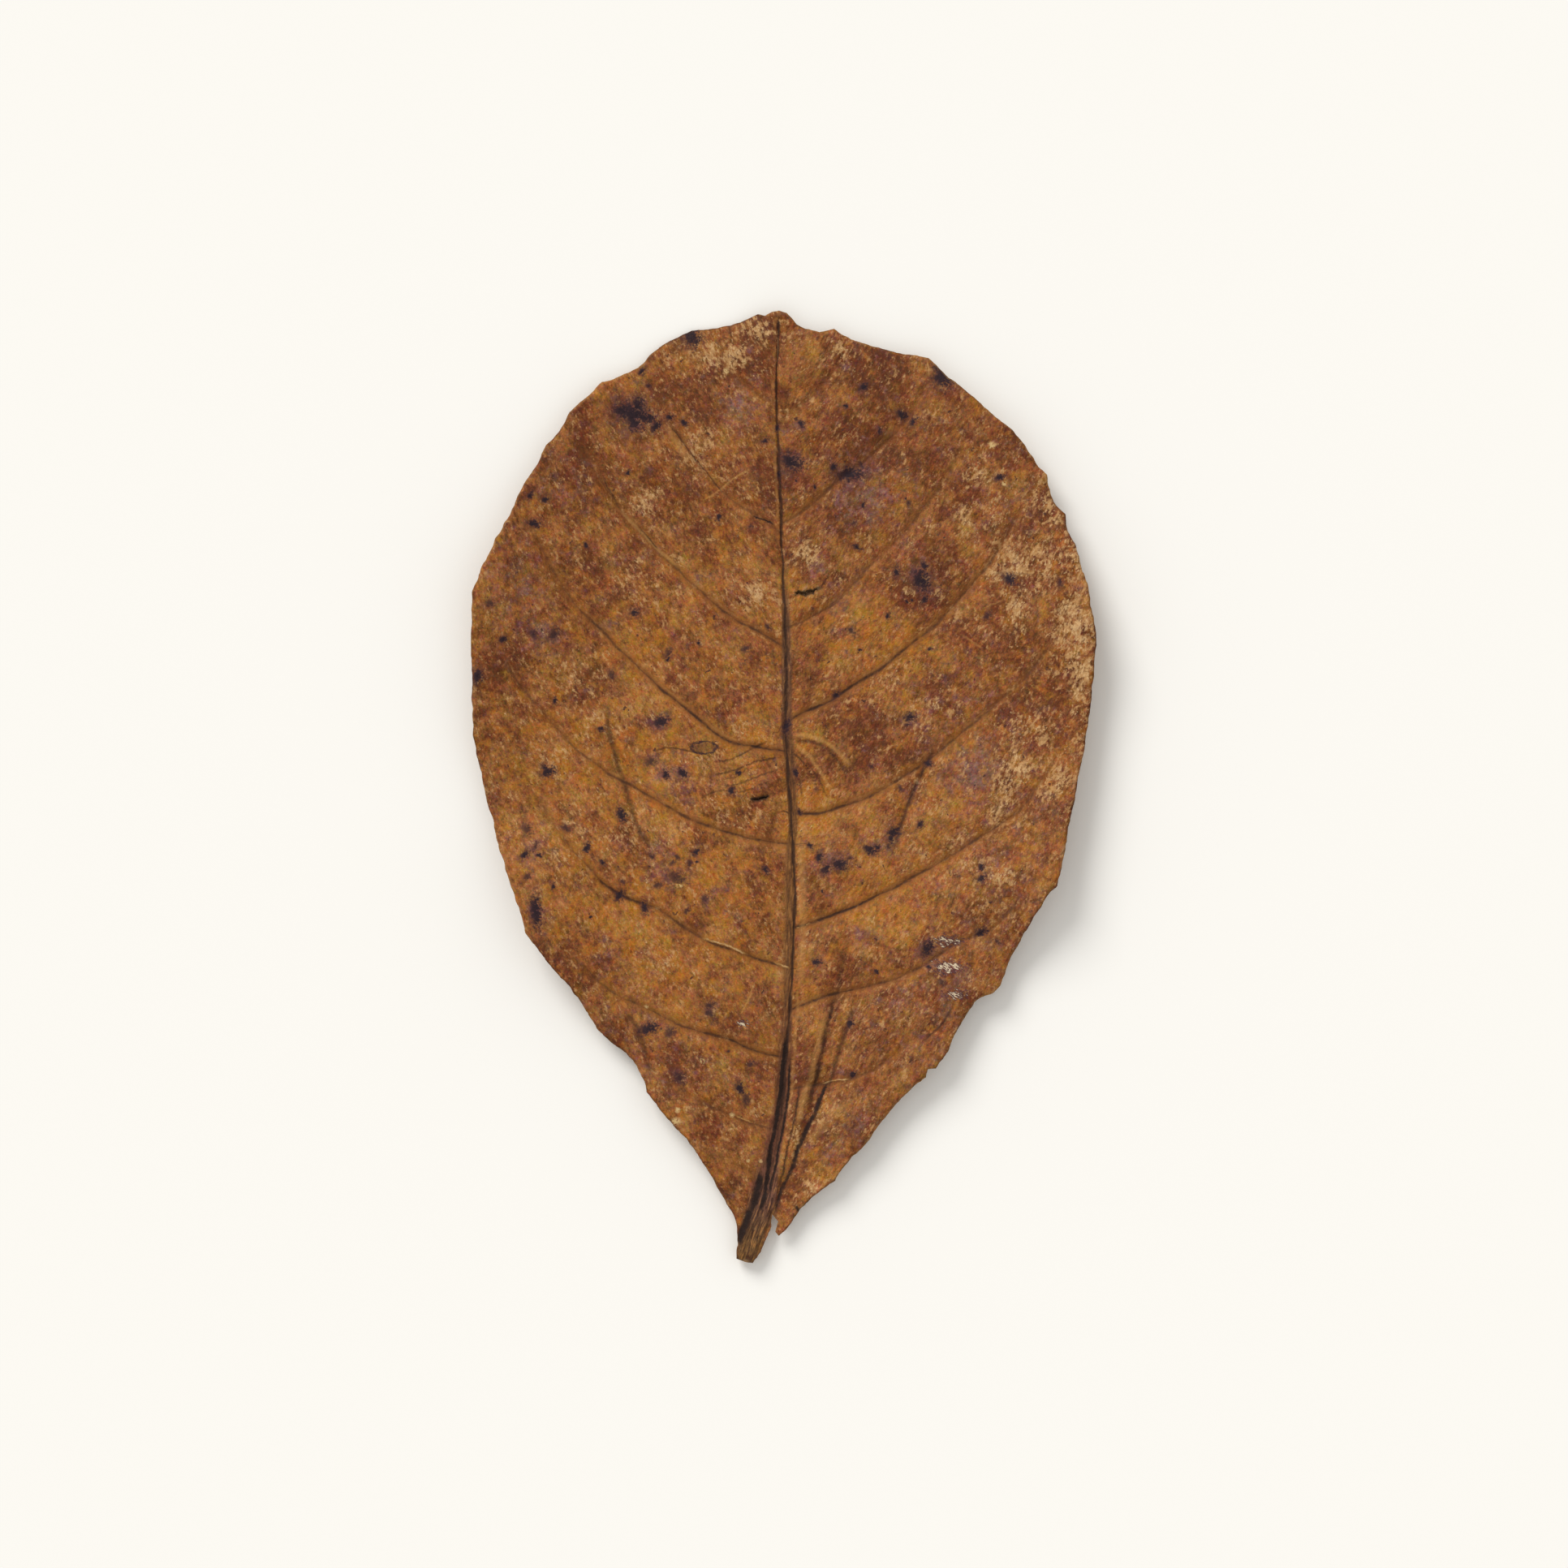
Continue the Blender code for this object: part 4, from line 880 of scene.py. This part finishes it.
    def creases(self, tree, where, colour):
        """Pale lines and dark lines along folds, wrinkles and scratches.

        The pale ones are painted highlights on ridges, and scratches; the dark ones are painted
        shade in folds and wrinkles, and dark dried lines.
        """
        # Ridge lines: painted highlights with a paler middle, and pale scratches. Crease lines:
        # painted shade with a darker middle, and dark dried lines.
        for name, tint, heart, most in (("ridge_highlight_and_scratch", "#c4914f", "#dcc79c", 0.65),
                                        ("crease", "#2f1a10", "#190e0a", 0.95)):
            across, width, strength = self.parts(tree, name)
            across = self.wavering(tree, where, across, 0.45, 0.3)
            gap = add(tree, "Math", [across], operation="ABSOLUTE")
            gap = add(tree, "Math", [gap, width], operation="DIVIDE")
            line = add(tree, "MapRange", [gap, 0.1, 1.25, 1.0, 0.0], **SOFT)
            worn = self.patches(tree, where, 2.9, 0.3, 0.5, detail=2.0)
            worn = add(tree, "MapRange", [worn, 0.0, 1.0, 0.7 * most, most])
            for share in (worn, strength):
                line = add(tree, "Math", [line, share], operation="MULTIPLY")
            deep = add(tree, "MapRange", [line, 0.45, 0.8, 0.0, 0.6])
            colour = self.coats(tree, colour, (line, tint), (deep, heart))
        return colour

    def spots(self, tree, where, colours, colour):
        """Dark fungus spots with soft halos, rings, pale dots and scuffs to white flecks."""
        x, y, number = self.parts(tree, "spot")
        is_dark, is_ring, is_pale, is_scuff = [
            add(tree, "Math", [number, kind, 0.4], operation="COMPARE")
            for kind in (0.0, 1.0, 2.0, 3.0)]
        warp = add(tree, "TexNoise", {"Vector": where, "Scale": per(1.0), "Detail": 4.0,
                                      "Roughness": 0.85}, out="Color")
        warp = add(tree, "VectorMath", [warp, (0.5, 0.5, 0.5)], operation="SUBTRACT")
        frayed = add(tree, "Math", [is_ring, is_pale])
        frayed = add(tree, "MapRange", [frayed, 0.0, 1.0, 2.8, 1.1])
        warp = add(tree, "VectorMath", {0: warp, "Scale": frayed}, operation="SCALE")
        level = add(tree, "CombineXYZ", [x, y])
        level = add(tree, "VectorMath", [warp, level])
        away = add(tree, "VectorMath", [level, (1.0, 1.0, 0.0)], operation="MULTIPLY")
        away = add(tree, "VectorMath", [away], operation="LENGTH", out="Value")
        ragged = add(tree, "TexNoise", {"Vector": where, "Scale": per(0.5), "Detail": 3.0,
                                        "Roughness": 0.7})
        ragged = add(tree, "MapRange", [ragged, 0.25, 0.75, -0.8, 0.8])
        eaten = add(tree, "Math", [away, ragged])
        depth = add(tree, "MapRange", [number, 0.0, 0.3, 1.0, 0.6])
        depth = add(tree, "Math", [depth, is_dark], operation="MULTIPLY")
        rim = add(tree, "Math", [away, 0.9], operation="SUBTRACT")
        rim = add(tree, "Math", [rim], operation="ABSOLUTE")
        rim = add(tree, "MapRange", [rim, 0.04, 0.24, 0.9, 0.0], **SOFT)
        core = add(tree, "MapRange", [away, 0.5, 0.95, 0.35, 0.0])
        rim = add(tree, "Math", [rim, core], operation="MAXIMUM")
        slanted = add(tree, "Mapping", {"Vector": where, "Rotation": (0, 0, math.radians(-28)),
                                        "Scale": (2.8, 0.8, 1.0)}, vector_type="TEXTURE")
        flaking = add(tree, "TexNoise", {"Vector": slanted, "Scale": per(0.42), "Detail": 3.0,
                                         "Roughness": 0.6})
        scuffed = add(tree, "MapRange", [away, 0.2, 3.0, 0.15, -0.45])
        scuffed = add(tree, "Math", [scuffed, flaking])
        halo, dark, rim, middle, pale, bruised, flaked = [
            add(tree, "Math", [mask, share], operation="MULTIPLY") for mask, share in (
                (add(tree, "MapRange", [eaten, 0.7, 2.4, 0.55, 0.0], **SOFT), is_dark),
                (add(tree, "MapRange", [eaten, 0.5, 1.4, 0.95, 0.0], **SOFT), depth),
                (rim, self.patches(tree, where, 1.1, 0.2, 0.42, is_ring, detail=2.0)),
                (add(tree, "MapRange", [away, 0.2, 0.8, 0.6, 0.0]), depth),
                (add(tree, "MapRange", [away, 0.3, 0.95, 1.0, 0.0]),
                 self.patches(tree, where, 0.6, 0.38, 0.54, is_pale, detail=2.0)),
                (add(tree, "MapRange", [scuffed, 0.43, 0.52, 0.0, 0.75]), is_scuff),
                (add(tree, "MapRange", [scuffed, 0.6, 0.66, 0.0, 0.85]), is_scuff))]
        dark = add(tree, "Math", [dark, rim], operation="MAXIMUM")
        return self.coats(tree, colour, (halo, "#543029"), (dark, colours.mould),
                          (middle, "#19121a"), (pale, "#c9a871"), (bruised, "#452833"),
                          (flaked, "#dcc8a6"))

    def rib(self, tree, where, colour):
        """The midrib's strip: olive brown strands between dark lines, black near the stalk."""
        across, share, station = self.parts(tree, "rib")
        stretched = add(tree, "CombineXYZ", [across, station])
        stretched = add(tree, "Mapping", {"Vector": stretched, "Scale": (1.0, 0.12, 1.0)})
        strands = add(tree, "TexNoise", {"Vector": stretched, "Scale": 2.4, "Detail": 4.0,
                                         "Roughness": 0.65})
        along = add(tree, "MapRange", [station, -100.0, 100.0])
        ground = add(tree, "ValToRGB", [along], stops=[
            (0.0, linear("#6b4f26")), (1.0, linear("#5e3a1c")), (0.03, linear("#5f4428")),
            (0.07, linear("#664438")), (0.13, linear("#6e4030")), (0.22, linear("#653b22")),
            (0.3, linear("#6e4725")), (0.4, linear("#744c26")), (0.5, linear("#5f3a1c")),
            (0.62, linear("#60402c"))])
        coarse = add(tree, "MapRange", [station, -76.0, -86.0, 0.6, 0.95])
        strip = self.coats(
            tree, ground,
            (add(tree, "MapRange", [strands, 0.49, 0.56, 0.0, coarse], **SOFT), "#291914"),
            (add(tree, "MapRange", [strands, 0.44, 0.37, 0.0, coarse], **SOFT), "#a8743f"))
        inside = add(tree, "Math", [share], operation="ABSOLUTE")
        fray = add(tree, "MapRange", [strands, 0.0, 1.0, -0.5, 0.5])
        inside = add(tree, "Math", [inside, fray])
        inside = add(tree, "MapRange", [inside, 1.35, 0.7, 0.0, 0.85], **SOFT)
        thin_end = add(tree, "MapRange", [station, 50.0, 36.0])
        inside = add(tree, "Math", [inside, thin_end], operation="MULTIPLY")
        wavy = self.wavering(tree, where, across, 0.4, 0.1)
        gap = add(tree, "Math", [wavy], operation="ABSOLUTE")
        thick = self.patches(tree, where, 3.4, 0.35, 0.65, detail=2.0)
        width = add(tree, "Math", [thick, 0.3, 0.2], operation="MULTIPLY_ADD")
        line = add(tree, "Math", [gap, width], operation="DIVIDE")
        line = add(tree, "MapRange", [line, 0.2, 1.3, 0.85, 0.0], **SOFT)
        reach = add(tree, "MapRange", [station, -84.0, -66.0])
        line = add(tree, "Math", [line, reach], operation="MULTIPLY")
        edges = add(tree, "Math", [wavy, -0.75])
        edges = add(tree, "Math", [edges], operation="ABSOLUTE")
        edges = add(tree, "MapRange", [edges, 0.1, 0.45, 0.4, 0.0])
        upward = add(tree, "MapRange", [station, 45.0, 60.0])
        for part in (upward, thick):
            edges = add(tree, "Math", [edges, part], operation="MULTIPLY")
        colour = self.coats(tree, colour, (inside, strip), (edges, "#b5803f"),
                            (line, "#2f1b11"))
        return colour, add(tree, "Math", [strands, inside], operation="MULTIPLY")

    def margin(self, tree, where, inwards, tear_wall_shade, colour):
        """The thin edge has dried dark in some places and pale in others.

        The tears' walls and rims are painted near black as painted shade inside the tears.
        """
        fray = add(tree, "TexNoise", {"Vector": where, "Scale": per(2.0), "Detail": 3.0})
        near = add(tree, "Math", [fray, 0.8, inwards], operation="MULTIPLY_ADD")
        near = add(tree, "MapRange", [near, 0.4, 0.85, 0.45, 0.0], **SOFT)
        which = self.patches(tree, where, 13.0, 0.42, 0.56, detail=2.0)
        edge = self.coats(tree, linear("#4f3220"), (which, "#a87c49"))
        # Painted shade: near black on the tears' walls and rims, for the shade inside the tears.
        tear_wall_shade = add(tree, "MapRange", [tear_wall_shade, 0.25, 0.75], **SOFT)
        return self.coats(tree, colour, (near, edge), (tear_wall_shade, "#0f0a07"))

    def lower_face(self, tree, where, colours, colour):
        """The lower face is duller and paler, with tan ribs, and the markings show faintly.

        The dark edges beside the ribs are painted shade.
        """
        cloud = add(tree, "TexNoise", {"Vector": where, "Scale": per(4.1), "Detail": 5.0,
                                       "Roughness": 0.6})
        tint = add(tree, "ValToRGB", [cloud], stops=[
            (0.35, linear("#7f5c3b")), (0.65, linear("#b08d62")), (0.5, colours.underside)])
        colour = self.coats(tree, colour, (0.6, tint))
        for name, half, tip, low, high in (("vein", 0.4, 1.0, 0.0, 0.2),
                                           ("rib", 1.2, 0.3, -102.0, -101.0)):
            across, _, length = self.parts(tree, name)
            gap = add(tree, "Math", [across], operation="ABSOLUTE")
            taper = add(tree, "MapRange", [length, -60.0, 100.0, 1.0, tip])
            gap = add(tree, "Math", [gap, taper], operation="DIVIDE")
            ends = add(tree, "MapRange", [length, low, high])
            # The dark band is painted shade along the sides of the ribs; the pale band is the
            # ribs' own tan.
            for near, far, most, shade in ((half, half + 0.6, 0.65, "#5a3d26"),
                                           (half * 0.5, half, 0.8, "#b48b5e")):
                line = add(tree, "MapRange", [gap, near, far, most, 0.0])
                line = add(tree, "Math", [line, ends], operation="MULTIPLY")
                colour = self.coats(tree, colour, (line, shade))
        return colour

    def relief(self, tree, where, grain, shader, fleck, strands):
        """Fine net of the smallest veins, puckered skin, and the strands of the midrib."""
        net = add(tree, "TexVoronoi", {"Vector": grain, "Scale": per(1.7)},
                  feature="DISTANCE_TO_EDGE")
        net = add(tree, "MapRange", [net, 0.0, 0.14], **SOFT)
        height = add(tree, "TexNoise", {"Vector": where, "Scale": per(1.5), "Detail": 5.0,
                                        "Roughness": 0.6})
        for part, depth in ((net, 0.3), (fleck, 0.5), (strands, 1.0)):
            height = add(tree, "Math", [part, depth, height], operation="MULTIPLY_ADD")
        bump = add(tree, "Bump", {"Height": height, "Strength": 0.6, "Distance": 0.24 * MM})
        tree.links.new(bump, shader.inputs["Normal"])


class LEAF_OT_stage(bpy.types.Operator):
    """Lays the pale floor, lights it softly from the upper left and hangs the camera above"""

    bl_idname = "leaf.stage"
    bl_label = "Stage"

    def execute(self, context):
        stage = context.scene.leaf_stage
        bpy.ops.object.select_all(action="DESELECT")
        bpy.ops.mesh.primitive_plane_add(size=4.0, location=(0, 0, -0.05 * MM))
        floor = context.object
        floor.name = "floor"
        bpy.ops.object.transform_apply(location=True, rotation=True, scale=True)
        paper = bpy.data.materials.new("matt_paper_floor")
        paper.use_nodes = True
        shader = paper.node_tree.nodes["Principled BSDF"]
        shader.inputs["Base Color"].default_value = stage.floor
        shader.inputs["Roughness"].default_value = 0.95
        shader.inputs["Specular IOR Level"].default_value = 0.0
        floor.data.materials.append(paper)
        self.light(context, stage)
        self.camera(context, stage)
        return {"FINISHED"}

    def light(self, context, stage):
        """A wide soft sun from the upper left, and even light from all round."""
        bpy.ops.object.light_add(type="SUN", location=(-0.6, 0.6, 0.9))
        sun = context.object
        sun.name = "soft_window"
        towards = Vector((0.75, -1.15, -1.0))
        sun.rotation_euler = towards.to_track_quat("-Z", "Y").to_euler()
        sun.data.energy = stage.sun
        sun.data.angle = math.radians(30)
        world = bpy.data.worlds.new("pale_room")
        world.use_nodes = True
        world.node_tree.nodes["Background"].inputs["Color"].default_value = (1, 1, 1, 1)
        world.node_tree.nodes["Background"].inputs["Strength"].default_value = stage.sky
        context.scene.world = world
        context.scene.view_settings.view_transform = "Standard"

    def camera(self, context, stage):
        """Straight above the leaf, a little off its middle as the leaf lies in the view."""
        height = 6 * MM + stage.view_width * stage.lens / SENSOR
        bpy.ops.object.camera_add(location=(0.085 * MM, 0.68 * MM, height), rotation=(0, 0, 0))
        camera = context.object
        camera.name = "view_from_above"
        camera.data.lens = stage.lens
        camera.data.sensor_width = SENSOR
        context.scene.camera = camera


OPERATORS = [LEAF_OT_blade, LEAF_OT_markings, LEAF_OT_finish, LEAF_OT_stage]


class LEAF_PT_panel(bpy.types.Panel):
    """Lists the jobs and their sizes and colours"""

    bl_idname = "LEAF_PT_panel"
    bl_label = "Dried leaf"
    bl_space_type = "VIEW_3D"
    bl_region_type = "UI"
    bl_category = "Leaf"

    def draw(self, context):
        scene = context.scene
        for group in (scene.leaf_blade, scene.leaf_colours, scene.leaf_stage):
            box = self.layout.box()
            for name in group.__annotations__:
                box.prop(group, name)
        for operator in OPERATORS:
            self.layout.operator(operator.bl_idname)


CLASSES = [LeafBladeSizes, LeafColours, LeafStage, *OPERATORS, LEAF_PT_panel]


def register():
    for cls in CLASSES:
        bpy.utils.register_class(cls)
    bpy.types.Scene.leaf_blade = bpy.props.PointerProperty(type=LeafBladeSizes)
    bpy.types.Scene.leaf_colours = bpy.props.PointerProperty(type=LeafColours)
    bpy.types.Scene.leaf_stage = bpy.props.PointerProperty(type=LeafStage)


def unregister():
    del bpy.types.Scene.leaf_blade
    del bpy.types.Scene.leaf_colours
    del bpy.types.Scene.leaf_stage
    for cls in reversed(CLASSES):
        bpy.utils.unregister_class(cls)


def main():
    register()
    bpy.ops.leaf.blade()
    bpy.ops.leaf.markings()
    bpy.ops.leaf.finish()
    bpy.ops.leaf.stage()


if __name__ == "__main__":
    main()
